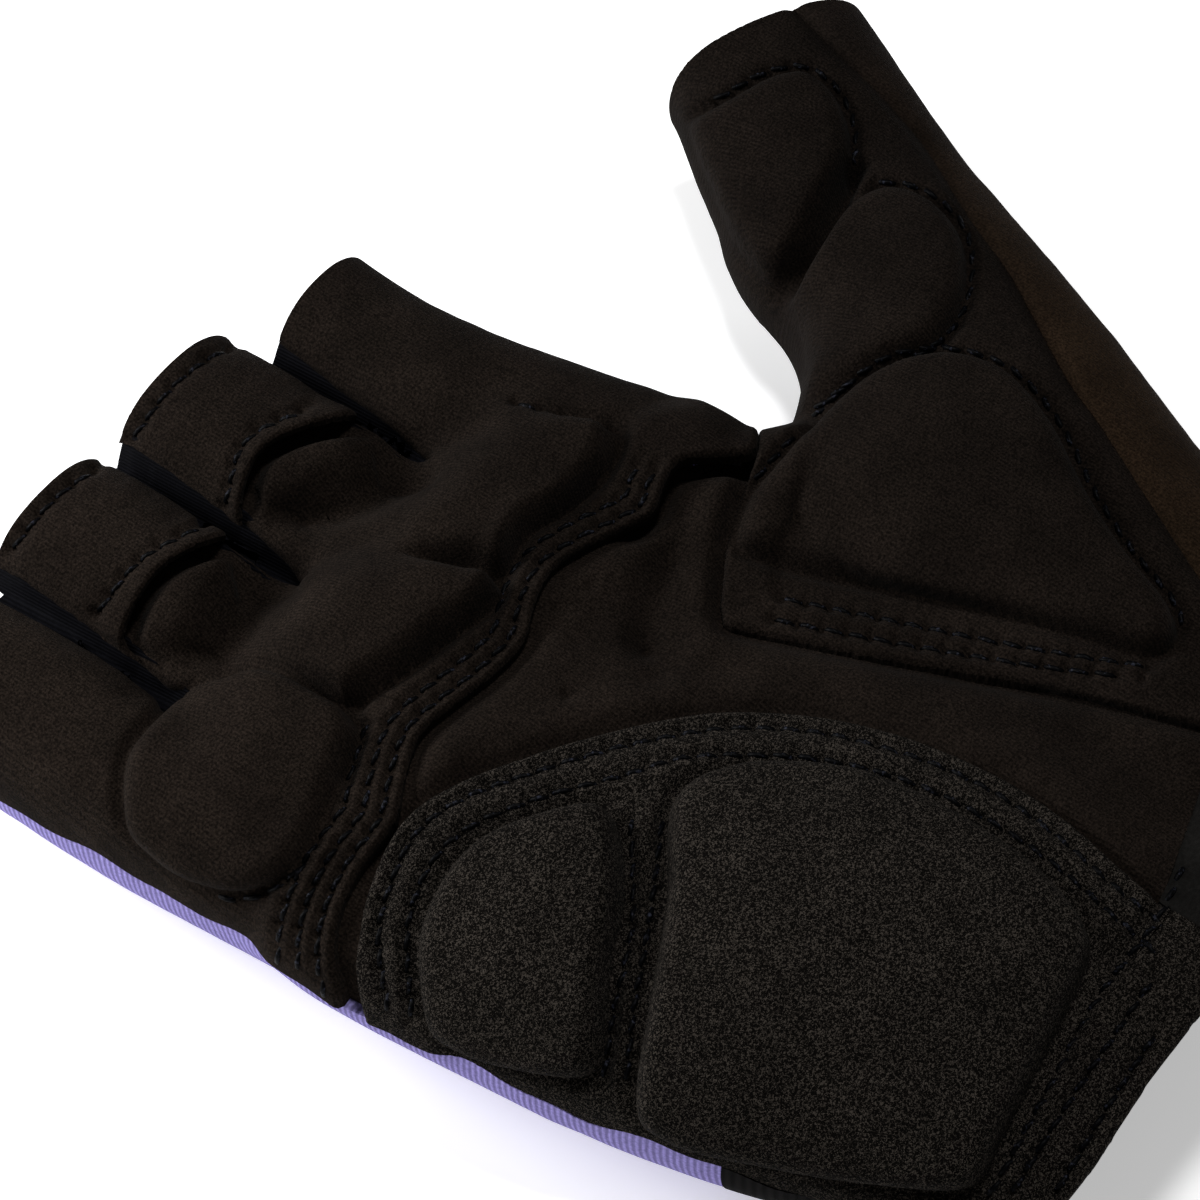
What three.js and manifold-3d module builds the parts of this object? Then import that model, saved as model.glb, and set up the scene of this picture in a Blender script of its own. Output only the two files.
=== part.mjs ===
// Fingerless cycling glove for the right hand, lying on its back with the palm up.
// Millimetres. +X points to the thumb side, +Y to the fingers, +Z up, out of the palm.
// The origin is under the middle of the glove's bounding box, on the surface that it lies on.
// The glove is a skin of cloth walls: closed lofts for the palm, the fingers and the thumb are joined,
// hollowed from inside, and cut into panels along the seams. The pads lie on the panels.
import * as THREE from "three";
import { mergeVertices } from "three/addons/utils/BufferGeometryUtils.js";
import Module from "manifold-3d";

const wasm = await Module();
wasm.setup();

// Driving dimensions
const WALL = 1.6;
const GAP = 0.3;
const SIDE_SEAM_Z = 10;
const FOURCHETTE_TOP_Z = 18.5;
const FOURCHETTE_BOTTOM_Z = 8;
const FOURCHETTE_ROOT_Y = 26;
const TAB_THICKNESS = 1.5;
const TAB_LIFT = 0.4;
const SQUARENESS = 2.5;
const BEYOND = 4;
const REACH = 200;
const TALL = 50;
const MERGE_DISTANCE = 1e-4;
// The wrist's open end slants: its lower edge lies further in than its upper one.
const WRIST_SLANT = 0.45;
const WRIST_TOP = { y: -87, z: 24 };
const BOX_CENTRE = { x: 22.73, y: -10.91 };

// A row for each section, from the wrist outwards. Heading is in degrees from +Y towards +X.
// Hollow is the depth of the dip in the palm's upper side, at dipX from the section's centre.
const PALM_SECTIONS = [
  { x: -2.7, y: -87, heading: 0, half: 32.7, bottom: 1.0, top: 25.5, hollow: 0, dipX: 0 },
  { x: -3.4, y: -78, heading: 0, half: 34.0, bottom: -0.5, top: 27.5, hollow: 0, dipX: 0 },
  { x: -5.6, y: -62, heading: 0, half: 36.6, bottom: -1.5, top: 29.0, hollow: 0.5, dipX: 18 },
  { x: -8.0, y: -42, heading: 0, half: 40.5, bottom: -1.5, top: 29.5, hollow: 1.5, dipX: 20 },
  { x: -9.7, y: -20, heading: 0, half: 42.3, bottom: -1.5, top: 28.5, hollow: 3.0, dipX: 16 },
  { x: -10.1, y: 0, heading: 0, half: 44.2, bottom: -1.5, top: 28.0, hollow: 3.5, dipX: 12 },
  { x: -9.6, y: 12, heading: 0, half: 44.2, bottom: -1.5, top: 28.5, hollow: 0.8, dipX: 8 },
  { x: -10.6, y: 24, heading: 0, half: 44.0, bottom: -1.0, top: 28.0, hollow: 0, dipX: 0 },
  { x: -11.9, y: 31.5, heading: 0, half: 41.2, bottom: 1.0, top: 24.0, hollow: 0, dipX: 0 },
];
const THUMB_SECTIONS = [
  { x: 17.0, y: -80, heading: 25, half: 13.0, bottom: 1.0, top: 25.0, hollow: 0, dipX: 0 },
  { x: 38.5, y: -52.3, heading: 27, half: 20.6, bottom: -1.0, top: 29.0, hollow: 0, dipX: 0 },
  { x: 47.6, y: -22.3, heading: 29, half: 26.8, bottom: -1.5, top: 30.5, hollow: 0, dipX: 0 },
  { x: 66.6, y: -1.6, heading: 29, half: 17.6, bottom: -0.5, top: 28.5, hollow: 0, dipX: 0 },
  { x: 75.8, y: 17.1, heading: 27, half: 16.6, bottom: 2.0, top: 26.0, hollow: 0, dipX: 0 },
  { x: 88.8, y: 39.5, heading: 27, half: 14.2, bottom: 5.5, top: 26.5, hollow: 0, dipX: 0 },
];
const LITTLE_SECTIONS = [
  { x: -42.6, y: 6, heading: -2, half: 9.9, bottom: 0.5, top: 25.5, hollow: 0, dipX: 0 },
  { x: -45.8, y: 33, heading: -2, half: 9.5, bottom: 1.5, top: 24.0, hollow: 0, dipX: 0 },
  { x: -47.1, y: 63.0, heading: -2, half: 8.9, bottom: 3.5, top: 23.0, hollow: 0, dipX: 0 },
];
const RING_SECTIONS = [
  { x: -24.5, y: 6, heading: -1, half: 10.0, bottom: 0.5, top: 27.0, hollow: 0, dipX: 0 },
  { x: -25.3, y: 33, heading: -1, half: 10.0, bottom: 1.5, top: 26.0, hollow: 0, dipX: 0 },
  { x: -25.3, y: 65, heading: -1, half: 9.9, bottom: 4.5, top: 26.0, hollow: 0, dipX: 0 },
];
const MIDDLE_SECTIONS = [
  { x: -3.2, y: 6, heading: 0, half: 10.5, bottom: 0.5, top: 28.0, hollow: 0, dipX: 0 },
  { x: -3.0, y: 33, heading: 0, half: 10.7, bottom: 1.5, top: 27.0, hollow: 0, dipX: 0 },
  { x: -1.9, y: 64.4, heading: 0, half: 10.6, bottom: 4.5, top: 27.0, hollow: 0, dipX: 0 },
];
const INDEX_SECTIONS = [
  { x: 20.4, y: -8, heading: 0, half: 11.0, bottom: 0.5, top: 27.5, hollow: 0, dipX: 0 },
  { x: 23.4, y: 6, heading: 0, half: 13.6, bottom: 0.5, top: 28.0, hollow: 0, dipX: 0 },
  { x: 20.7, y: 26, heading: 0, half: 12.2, bottom: 1.2, top: 27.2, hollow: 0, dipX: 0 },
  { x: 19.6, y: 38, heading: 0, half: 10.6, bottom: 1.9, top: 26.8, hollow: 0, dipX: 0 },
  { x: 19.2, y: 48, heading: 0, half: 9.9, bottom: 2.8, top: 26.5, hollow: 0, dipX: 0 },
  { x: 19.6, y: 58.8, heading: 0, half: 9.9, bottom: 4.0, top: 26.8, hollow: 0, dipX: 0 },
];
// The web of skin cloth between the index finger and the thumb
const WEB_SECTIONS = [
  { x: 17.0, y: 7, heading: 127, half: 8.0, bottom: 2.0, top: 27.0, hollow: 0, dipX: 0 },
  { x: 30.6, y: -3.0, heading: 127, half: 8.4, bottom: 1.0, top: 27.0, hollow: 0, dipX: 0 },
  { x: 41.4, y: -9.8, heading: 127, half: 9.4, bottom: 0.5, top: 28.0, hollow: 0, dipX: 0 },
  { x: 50.0, y: -14, heading: 127, half: 11.0, bottom: 0.5, top: 28.5, hollow: 0, dipX: 0 },
];
const DIP_WIDTH = 15;

// Seams on the plan: each line is a smooth curve that runs past both edges of the glove, and the
// corners close the region on one side of it, far outside the glove.
const SEAMS = {
  fingers: {
    line: [
      [-72, -18], [-59, -9], [-50, -1.2], [-37, 1.3], [-26, 6.3], [-14, 4.8], [-3, 7], [2, 8.3],
      [12, 5], [16, 3.8], [20, 5.3], [24, 5.4], [28, 2.2], [32, 1.8], [36, 5], [41, 12], [46, 20],
      [54, 80],
    ],
    corners: [[54, 120], [-120, 120], [-120, -18]],
  },
  thumb: {
    line: [
      [46, 20], [41, 12], [36, 5], [32, 1.4], [28, -1.4], [22, -3], [15.5, -6], [10, -11],
      [9.5, -16], [12, -23], [15.5, -31], [20, -40], [24, -50], [28, -60], [31, -68], [34, -80],
      [36, -100],
    ],
    corners: [[140, -100], [140, 120], [54, 120], [46, 16]],
  },
  heel: {
    line: [
      [-72, -24], [-60, -12], [-52, -5.5], [-45, -2], [-38, -0.4], [-31, -2], [-23, -6.3],
      [-16, -10.8], [-9, -16.3], [-3.2, -22], [2.2, -30], [5.5, -38], [7.5, -46], [8.3, -54],
      [7.7, -62], [6.2, -70], [5.2, -80], [4.6, -100],
    ],
    corners: [[-120, -100], [-120, -24]],
  },
  cuff: {
    line: [[-60, -82], [-37, -79.5], [-18, -76.8], [-3, -74.4], [4, -73.6], [16, -72], [40, -68]],
    corners: [[60, -120], [-60, -120]],
  },
  thumbSide: {
    line: [
      [97, 60], [91, 34], [85.2, 18], [79.6, 5], [70.2, -12.6], [60.2, -29.5], [50, -48.5],
      [42, -66], [36, -100],
    ],
    corners: [[150, -100], [150, 60]],
  },
  thumbBack: {
    line: [[50, 60], [40, 8], [31, -6], [28, -30], [27, -52], [25, -70], [24, -100]],
    corners: [[150, -100], [150, 60]],
  },
  wristBand: {
    line: [[-80, -50], [-36, -52], [0, -56], [30, -60], [90, -60]],
    corners: [[90, -120], [-80, -120]],
  },
};

// Pads: a closed outline on the level of the palm, how far the crown stands above the panel, and the
// lean, in degrees towards the little finger's side, of the direction in which the outline is laid on.
const LEAN = 29;
const PADS = {
  knuckle_pad_little: {
    rise: 2.4,
    lean: LEAN,
    outline: [
      [-59, 19.5], [-58.6, 24.5], [-55, 30], [-48, 33.4], [-39, 32.2], [-31.6, 27], [-31, 18],
      [-32.4, 13], [-38, 11.6], [-48, 9.8], [-54, 11], [-57.6, 14.4],
    ],
  },
  knuckle_pad_middle: {
    rise: 2.2,
    lean: 0,
    outline: [[-28, 25], [-20, 28.2], [-12, 26], [-7, 20], [-6, 13.6], [-15, 13], [-24, 14.8], [-27.6, 17]],
  },
  knuckle_pad_index: {
    rise: 2.2,
    lean: 0,
    outline: [
      [-4.4, 20.5], [1, 26], [9, 27.2], [17.5, 25.4], [21, 20], [22, 14.5], [13, 12.8], [3, 14.6],
      [-3.2, 14.6],
    ],
  },
  heel_pad_small: {
    rise: 2.6,
    lean: LEAN,
    outline: [
      [-38, -8], [-30, -10.6], [-22.8, -17.4], [-30, -25.4], [-40, -30.4], [-50, -34.4],
      [-55.6, -26], [-57, -17.5], [-54, -12.4], [-47, -9.2],
    ],
  },
  heel_pad_large: {
    rise: 3.2,
    lean: LEAN,
    outline: [
      [-16.5, -22.6], [-9, -26], [-4, -33], [-0.6, -42], [0.6, -52], [0, -62], [-2.8, -69.4],
      [-9, -73], [-22, -75.6], [-34, -77], [-41, -74], [-46.6, -64], [-50.6, -52], [-52.4, -44],
      [-49.8, -40], [-39.4, -35], [-27, -28.8],
    ],
  },
  thenar_pad: {
    rise: 2.4,
    lean: 0,
    outline: [
      [18.5, -8.4], [28, -4.8], [40, -5], [50, -7.4], [56.2, -12], [57.4, -19.5], [53, -30],
      [47, -42], [41.5, -53], [36, -56.4], [32, -50], [27.4, -38], [22.6, -25], [19, -14.6],
    ],
  },
  thumb_joint_pad: {
    rise: 1.8,
    lean: 0,
    outline: [
      [47, 1], [53.4, 7.6], [59.4, 12.8], [68, 14.4], [73.4, 11.5], [75, 5], [72, -2], [65, -7],
      [56, -7.4], [49, -3.8],
    ],
  },
  thumb_tip_pad: {
    rise: 1.6,
    lean: 0,
    outline: [
      [64.6, 19.6], [66.6, 27], [72, 35.4], [79.6, 37], [84.2, 33.4], [83.2, 26.2], [77.6, 20.4],
      [70.6, 18.4],
    ],
  },
};
// Shares of the outline and of the rise, ring by ring from the pad's edge to its crown
const PAD_RINGS = [
  { size: 1.0, height: 0.15 },
  { size: 0.97, height: 0.6 },
  { size: 0.86, height: 0.88 },
  { size: 0.5, height: 1.0 },
];
const PAD_ROOT = 1.2;
const PAD_SIDES = 22;
const PALM_LEVEL = 30;

// Pull tabs: the free edge is an arch that bows towards the fingertip. Its shoulders are points
// at a share of the tab's width, lower than the crown by a share of the arch's height.
const SHOULDER = { across: 0.22, down: 0.28 };
const TABS = {
  pull_tab_middle: { sections: MIDDLE_SECTIONS, left: -13.6, right: 8.8, foot: 43.4, crown: 47.0, tip: 63.8 },
  pull_tab_ring: { sections: RING_SECTIONS, left: -35.6, right: -15.9, foot: 44.0, crown: 46.2, tip: 64.2 },
};

const suede = () => new THREE.MeshStandardMaterial({ color: 0x2b2521, roughness: 0.95, metalness: 0 });
const microfibre = () => new THREE.MeshStandardMaterial({ color: 0x34302c, roughness: 0.92, metalness: 0 });
const rib = () => new THREE.MeshStandardMaterial({ color: 0x191a1e, roughness: 0.85, metalness: 0 });
const stretch = () => new THREE.MeshStandardMaterial({ color: 0x9a92c4, roughness: 0.8, metalness: 0 });
const sideSuede = () => new THREE.MeshStandardMaterial({ color: 0x3d2f22, roughness: 0.95, metalness: 0 });
const band = () => new THREE.MeshStandardMaterial({ color: 0x161514, roughness: 0.8, metalness: 0 });
const tabGrey = () => new THREE.MeshStandardMaterial({ color: 0x3a3a3c, roughness: 0.6, metalness: 0 });

function solidOf(geometry) {
  const bare = geometry.clone();
  bare.deleteAttribute("normal");
  bare.deleteAttribute("uv");
  const merged = mergeVertices(bare, MERGE_DISTANCE);
  return new wasm.Manifold(
    new wasm.Mesh({
      numProp: 3,
      vertProperties: new Float32Array(merged.attributes.position.array),
      triVerts: new Uint32Array(merged.index.array),
    }),
  );
}

function meshOf(name, solid, material) {
  const data = solid.getMesh();
  const geometry = new THREE.BufferGeometry();
  geometry.setAttribute("position", new THREE.BufferAttribute(data.vertProperties, data.numProp));
  geometry.setIndex(new THREE.BufferAttribute(data.triVerts, 1));
  geometry.computeVertexNormals();
  const mesh = new THREE.Mesh(geometry, material);
  mesh.name = name;
  return mesh;
}

// One column of a table at a place between its rows, on a Catmull-Rom curve
function columnAt(rows, place, column) {
  const last = rows.length - 1;
  const row = Math.min(Math.floor(place), last - 1);
  const t = place - row;
  const value = (i) => rows[Math.min(Math.max(i, 0), last)][column];
  const [a, b, c, d] = [value(row - 1), value(row), value(row + 1), value(row + 2)];
  return 0.5 * (2 * b + (c - a) * t + (2 * a - 5 * b + 4 * c - d) * t * t + (3 * b - a - 3 * c + d) * t ** 3);
}

// The ring of points round one section, drawn in by inset and moved along its heading by slide
function ringOf(section, sides, inset, slide) {
  const heading = THREE.MathUtils.degToRad(section.heading);
  const across = new THREE.Vector3(Math.cos(heading), -Math.sin(heading), 0);
  const along = new THREE.Vector3(Math.sin(heading), Math.cos(heading), 0);
  const middle = (section.top + section.bottom) / 2;
  const halfHeight = (section.top - section.bottom) / 2 - inset;
  const power = 2 / SQUARENESS;
  const ring = [];
  for (let i = 0; i < sides; i += 1) {
    const angle = (2 * Math.PI * (i + 0.5)) / sides;
    const side = (section.half - inset) * Math.sign(Math.cos(angle)) * Math.abs(Math.cos(angle)) ** power;
    const lift = halfHeight * Math.sign(Math.sin(angle)) * Math.abs(Math.sin(angle)) ** power;
    const fromDip = (side - section.dipX) / DIP_WIDTH;
    const dip = section.hollow * Math.exp(-(fromDip ** 2)) * Math.max(0, Math.sin(angle));
    const point = new THREE.Vector3(section.x, section.y, middle + lift - dip);
    ring.push(point.addScaledVector(across, side).addScaledVector(along, slide));
  }
  return ring;
}

// A closed mesh through rings that all have the same number of points, with a fan at each end
function closedLoft(rings) {
  const sides = rings[0].length;
  const positions = [];
  const triangles = [];
  rings.forEach((ring) => ring.forEach((p) => positions.push(p.x, p.y, p.z)));
  [rings[0], rings[rings.length - 1]].forEach((ring) => {
    const centre = ring.reduce((sum, p) => sum.add(p), new THREE.Vector3()).divideScalar(sides);
    positions.push(centre.x, centre.y, centre.z);
  });
  const startCentre = rings.length * sides;
  for (let i = 0; i < sides; i += 1) {
    const next = (i + 1) % sides;
    const top = (rings.length - 1) * sides;
    triangles.push(startCentre, i, next);
    triangles.push(startCentre + 1, top + next, top + i);
    for (let r = 0; r < rings.length - 1; r += 1) {
      const low = r * sides;
      const high = low + sides;
      triangles.push(low + i, high + i, high + next);
      triangles.push(low + i, high + next, low + next);
    }
  }
  const geometry = new THREE.BufferGeometry();
  geometry.setAttribute("position", new THREE.Float32BufferAttribute(positions, 3));
  geometry.setIndex(triangles);
  return solidOf(geometry);
}

const COLUMNS = ["x", "y", "heading", "half", "bottom", "top", "hollow", "dipX"];

// The solid of one table of sections, with stepsPerRow rings between two rows
function loftOf(rows, { sides, stepsPerRow, inset = 0, slideStart = 0, slideEnd = 0 }) {
  const rings = [];
  const count = (rows.length - 1) * stepsPerRow;
  for (let i = 0; i <= count; i += 1) {
    const section = {};
    COLUMNS.forEach((column) => {
      section[column] = columnAt(rows, i / stepsPerRow, column);
    });
    const slide = i === 0 ? -slideStart : i === count ? slideEnd : 0;
    rings.push(ringOf(section, sides, inset, slide));
  }
  return closedLoft(rings);
}

const FINGER_TABLES = [LITTLE_SECTIONS, RING_SECTIONS, MIDDLE_SECTIONS, INDEX_SECTIONS];
const PALM_MESH = { sides: 26, stepsPerRow: 2 };
const FINGER_MESH = { sides: 16, stepsPerRow: 2 };
const THUMB_MESH = { sides: 20, stepsPerRow: 2 };

// The whole glove as one solid, inset from the outer skin. Open ends run past the wrist and the tips.
function gloveBody(inset, beyond) {
  let body = loftOf(PALM_SECTIONS, { ...PALM_MESH, inset, slideStart: beyond, slideEnd: -inset });
  body = body.add(loftOf(THUMB_SECTIONS, { ...THUMB_MESH, inset, slideStart: -inset, slideEnd: beyond }));
  body = body.add(loftOf(WEB_SECTIONS, { ...FINGER_MESH, inset, slideStart: -inset, slideEnd: -inset }));
  FINGER_TABLES.forEach((rows) => {
    body = body.add(loftOf(rows, { ...FINGER_MESH, inset, slideEnd: beyond }));
  });
  return body.intersect(slab(inset, REACH));
}

// A block that covers the whole plan between two heights
function slab(low, high) {
  const geometry = new THREE.BoxGeometry(2 * REACH, 2 * REACH, high - low);
  geometry.translate(0, 0, (low + high) / 2);
  return solidOf(geometry);
}

// A plan outline raised between two heights
function prism(points, low, high) {
  const shape = new THREE.Shape(points.map((p) => new THREE.Vector2(p.x, p.y)));
  const geometry = new THREE.ExtrudeGeometry(shape, { depth: high - low, bevelEnabled: false });
  geometry.translate(0, 0, low);
  return solidOf(geometry);
}

const SEAM_POINTS_PER_SPAN = 2;

function smooth(points, closed = false) {
  const curve = new THREE.CatmullRomCurve3(
    points.map(([x, y]) => new THREE.Vector3(x, y, 0)),
    closed,
    "centripetal",
  );
  const spans = closed ? points.length : points.length - 1;
  return curve.getPoints(spans * SEAM_POINTS_PER_SPAN);
}

// The cut along a seam: an upright sheet as thick as the gap
function seamCut(points, low, high) {
  const path = smooth(points);
  const left = [];
  const right = [];
  path.forEach((p, i) => {
    const before = path[Math.max(i - 1, 0)];
    const after = path[Math.min(i + 1, path.length - 1)];
    const along = after.clone().sub(before).normalize();
    const offset = new THREE.Vector3(-along.y, along.x, 0).multiplyScalar(GAP / 2);
    left.push(p.clone().add(offset));
    right.push(p.clone().sub(offset));
  });
  return prism([...left, ...right.reverse()], low, high);
}

// The plan region on one side of a seam, closed round its far corners
function seamSide({ line, corners }) {
  const far = corners.map(([x, y]) => new THREE.Vector3(x, y, 0));
  return prism([...smooth(line), ...far], -BEYOND, 2 * TALL);
}

const REGIONS = {};
Object.entries(SEAMS).forEach(([name, seam]) => {
  REGIONS[name] = seamSide(seam);
});

function cutAlong(solid, names) {
  return names.reduce((rest, name) => rest.subtract(seamCut(SEAMS[name].line, -BEYOND, TALL)), solid);
}

// How far the slanted plane of the wrist's open end lies from the origin
function wristOffset() {
  return (WRIST_TOP.y + WRIST_SLANT * WRIST_TOP.z) / Math.hypot(1, WRIST_SLANT);
}

// The largest body of a solid: the slivers that two seams leave where they meet are trimmed off.
function trimmed(solid) {
  return solid.decompose().reduce((best, body) => (body.volume() > best.volume() ? body : best));
}

const outer = gloveBody(0, 0).trimByPlane([0, 1, WRIST_SLANT], wristOffset());
const inner = gloveBody(WALL, BEYOND);
const skin = outer.subtract(inner);

// A fourchette is the strip of side wall between two fingers, down one finger and up the next.
function fourchetteBox(fingerA, fingerB, grow) {
  const plan = [
    [fingerA[0].x, FOURCHETTE_ROOT_Y - grow],
    [fingerB[0].x, FOURCHETTE_ROOT_Y - grow],
    [fingerB[fingerB.length - 1].x, FOURCHETTE_ROOT_Y + TALL],
    [fingerA[fingerA.length - 1].x, FOURCHETTE_ROOT_Y + TALL],
  ];
  const corners = plan.map(([x, y]) => new THREE.Vector3(x, y, 0));
  return prism(corners, FOURCHETTE_BOTTOM_Z - grow, FOURCHETTE_TOP_Z + grow);
}

const FOURCHETTES = {
  fourchette_ring_little: [LITTLE_SECTIONS, RING_SECTIONS],
  fourchette_middle_ring: [RING_SECTIONS, MIDDLE_SECTIONS],
  fourchette_index_middle: [MIDDLE_SECTIONS, INDEX_SECTIONS],
};

function fourchettes() {
  return Object.entries(FOURCHETTES).map(([name, [a, b]]) =>
    meshOf(name, skin.intersect(fourchetteBox(a, b, -GAP / 2)), rib()),
  );
}

const skinWithoutFourchettes = Object.values(FOURCHETTES).reduce(
  (rest, [a, b]) => rest.subtract(fourchetteBox(a, b, GAP / 2)),
  skin,
);
const palmSide = skinWithoutFourchettes.intersect(slab(SIDE_SEAM_Z + GAP / 2, REACH));
const backSide = skinWithoutFourchettes.intersect(slab(-BEYOND, SIDE_SEAM_Z - GAP / 2));

function palmPanels() {
  const fingers = cutAlong(palmSide.intersect(REGIONS.fingers), ["fingers"]);
  const belowFingers = cutAlong(palmSide.subtract(REGIONS.fingers), ["fingers"]);
  const thumbWhole = cutAlong(belowFingers.intersect(REGIONS.thumb), ["thumb", "thumbSide"]);
  const heelWhole = cutAlong(belowFingers.intersect(REGIONS.heel), ["heel", "cuff"]);
  const middle = belowFingers.subtract(REGIONS.heel).subtract(REGIONS.thumb);
  const middleWhole = cutAlong(middle, ["heel", "thumb", "cuff"]);
  return [
    meshOf("finger_palm_panel", trimmed(fingers), suede()),
    meshOf("centre_palm_panel", trimmed(middleWhole.subtract(REGIONS.cuff)), suede()),
    meshOf("heel_panel", trimmed(heelWhole.subtract(REGIONS.cuff)), microfibre()),
    meshOf("cuff_hem", trimmed(heelWhole.intersect(REGIONS.cuff)), microfibre()),
    meshOf("wrist_tab", trimmed(middleWhole.intersect(REGIONS.cuff)), tabGrey()),
    meshOf("thumb_panel", trimmed(thumbWhole.subtract(REGIONS.thumbSide)), suede()),
    meshOf("thumb_side_panel", trimmed(thumbWhole.intersect(REGIONS.thumbSide)), sideSuede()),
  ];
}

function backPanels() {
  const whole = cutAlong(backSide, ["wristBand"]);
  const upper = cutAlong(whole.subtract(REGIONS.wristBand), ["thumbBack"]);
  return [
    meshOf("back_panel", trimmed(upper.subtract(REGIONS.thumbBack)), stretch()),
    meshOf("thumb_back_panel", trimmed(upper.intersect(REGIONS.thumbBack)), rib()),
    meshOf("wrist_band", trimmed(whole.intersect(REGIONS.wristBand)), band()),
  ];
}

const skinMesh = meshOf("skin", outer, suede());
const probe = new THREE.Raycaster();

// The place on the outer skin under a point at the level of the palm, seen along a direction
function placeOnSkin(point, towards) {
  probe.set(point.clone().addScaledVector(towards, -REACH), towards);
  const hits = probe.intersectObject(skinMesh);
  return hits.length ? hits[0].point : point;
}

const outerGrown = gloveBody(-GAP, BEYOND);

// A pad is a crowned pillow on the panel, with its underside cut to the panel's shape.
function pad(name, { outline, rise, lean }, material) {
  const angle = THREE.MathUtils.degToRad(lean);
  const outwards = new THREE.Vector3(-Math.sin(angle), 0, Math.cos(angle));
  const curve = new THREE.CatmullRomCurve3(
    outline.map(([x, y]) => new THREE.Vector3(x, y, PALM_LEVEL)),
    true,
    "centripetal",
  );
  let edge = curve.getSpacedPoints(PAD_SIDES).slice(0, PAD_SIDES);
  if (THREE.ShapeUtils.area(edge) > 0) edge = edge.reverse();
  const middle = edge.reduce((sum, p) => sum.add(p), new THREE.Vector3()).divideScalar(PAD_SIDES);
  const ringAt = (size, lift) =>
    edge.map((p) => {
      const place = placeOnSkin(middle.clone().lerp(p, size), outwards.clone().negate());
      return place.addScaledVector(outwards, lift);
    });
  const rings = PAD_RINGS.map(({ size, height }) => ringAt(size, GAP + rise * height));
  rings.unshift(ringAt(1, -PAD_ROOT));
  return meshOf(name, trimmed(closedLoft(rings).subtract(outerGrown)), material);
}

function pads() {
  return Object.entries(PADS).map(([name, size]) =>
    pad(name, size, name.startsWith("heel") ? microfibre() : suede()),
  );
}

// A pull tab is a second layer over the finger, sewn at its sides and tip, with a free arched edge.
function pullTab(name, { sections, left, right, foot, crown, tip }) {
  const over = { ...FINGER_MESH, slideEnd: BEYOND };
  const top = loftOf(sections, { ...over, inset: -(TAB_LIFT + TAB_THICKNESS) });
  const under = loftOf(sections, { ...over, inset: -TAB_LIFT });
  const inwards = (right - left) * SHOULDER.across;
  const shoulder = crown - (crown - foot) * SHOULDER.down;
  const arch = smooth([
    [left, foot],
    [left + inwards, shoulder],
    [(left + right) / 2, crown],
    [right - inwards, shoulder],
    [right, foot],
  ]);
  const corners = [new THREE.Vector3(right, tip, 0), new THREE.Vector3(left, tip, 0)];
  const plan = prism([...arch, ...corners], FOURCHETTE_TOP_Z + GAP, TALL);
  return meshOf(name, top.subtract(under).intersect(plan), suede());
}

function pullTabs() {
  return Object.entries(TABS).map(([name, size]) => pullTab(name, size));
}

const glove = new THREE.Group();
glove.name = "fingerless_cycling_glove";
glove.add(...backPanels(), ...palmPanels(), ...fourchettes(), ...pads(), ...pullTabs());
glove.position.set(-BOX_CENTRE.x, -BOX_CENTRE.y, 0);

export default glove;
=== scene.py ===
"""Looks of the fingerless cycling glove, lying on its back with the palm up.

Lengths are millimetres on the glove's drawing until a piece is made, and then metres in the row frame.
"View" coordinates are where a point is seen from the camera on the level of the palm.
"""
import math

import bpy
import numpy as np
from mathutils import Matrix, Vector
from mathutils.bvhtree import BVHTree
from mathutils.kdtree import KDTree


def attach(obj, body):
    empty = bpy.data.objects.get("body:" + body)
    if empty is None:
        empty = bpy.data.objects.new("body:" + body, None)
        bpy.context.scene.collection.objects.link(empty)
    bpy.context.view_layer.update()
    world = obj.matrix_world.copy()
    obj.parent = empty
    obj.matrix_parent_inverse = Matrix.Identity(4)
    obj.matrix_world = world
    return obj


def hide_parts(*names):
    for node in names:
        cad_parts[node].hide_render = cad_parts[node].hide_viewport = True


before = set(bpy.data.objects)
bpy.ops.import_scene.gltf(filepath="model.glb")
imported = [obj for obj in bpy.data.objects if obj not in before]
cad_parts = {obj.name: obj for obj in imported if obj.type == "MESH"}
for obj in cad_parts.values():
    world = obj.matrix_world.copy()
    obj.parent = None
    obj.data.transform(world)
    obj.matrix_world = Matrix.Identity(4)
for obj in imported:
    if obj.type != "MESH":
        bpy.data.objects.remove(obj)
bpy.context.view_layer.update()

MM = 0.001
DRAWING_CENTRE = np.array([22.73, -10.91, 0.0])

# Camera
AZIMUTH = math.radians(-53)
ELEVATION = math.radians(55)
CAMERA_DISTANCE = 600.0
PALM_LEVEL = 30.0
LENS_MM = 153.0
SENSOR_MM = 36.0
TO_CAMERA = np.array([
    math.sin(AZIMUTH) * math.cos(ELEVATION),
    -math.cos(AZIMUTH) * math.cos(ELEVATION),
    math.sin(ELEVATION),
])
EYE = np.array([0.0, 0.0, PALM_LEVEL]) + CAMERA_DISTANCE * TO_CAMERA

# Sizes of the cloth
CLOTH = 1.3
LAP = 1.6
TAB_CLOTH = 0.8
SIDE_SEAM_Z = 10.0
FOURCHETTE_BOTTOM_Z = 8.0
WRIST_SLANT = 0.45
VOXEL = 1.1
SNAP = 0.08
ROLL_BANDS = (0.25, 0.6, 1.1)
FAR = 1000.0

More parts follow.
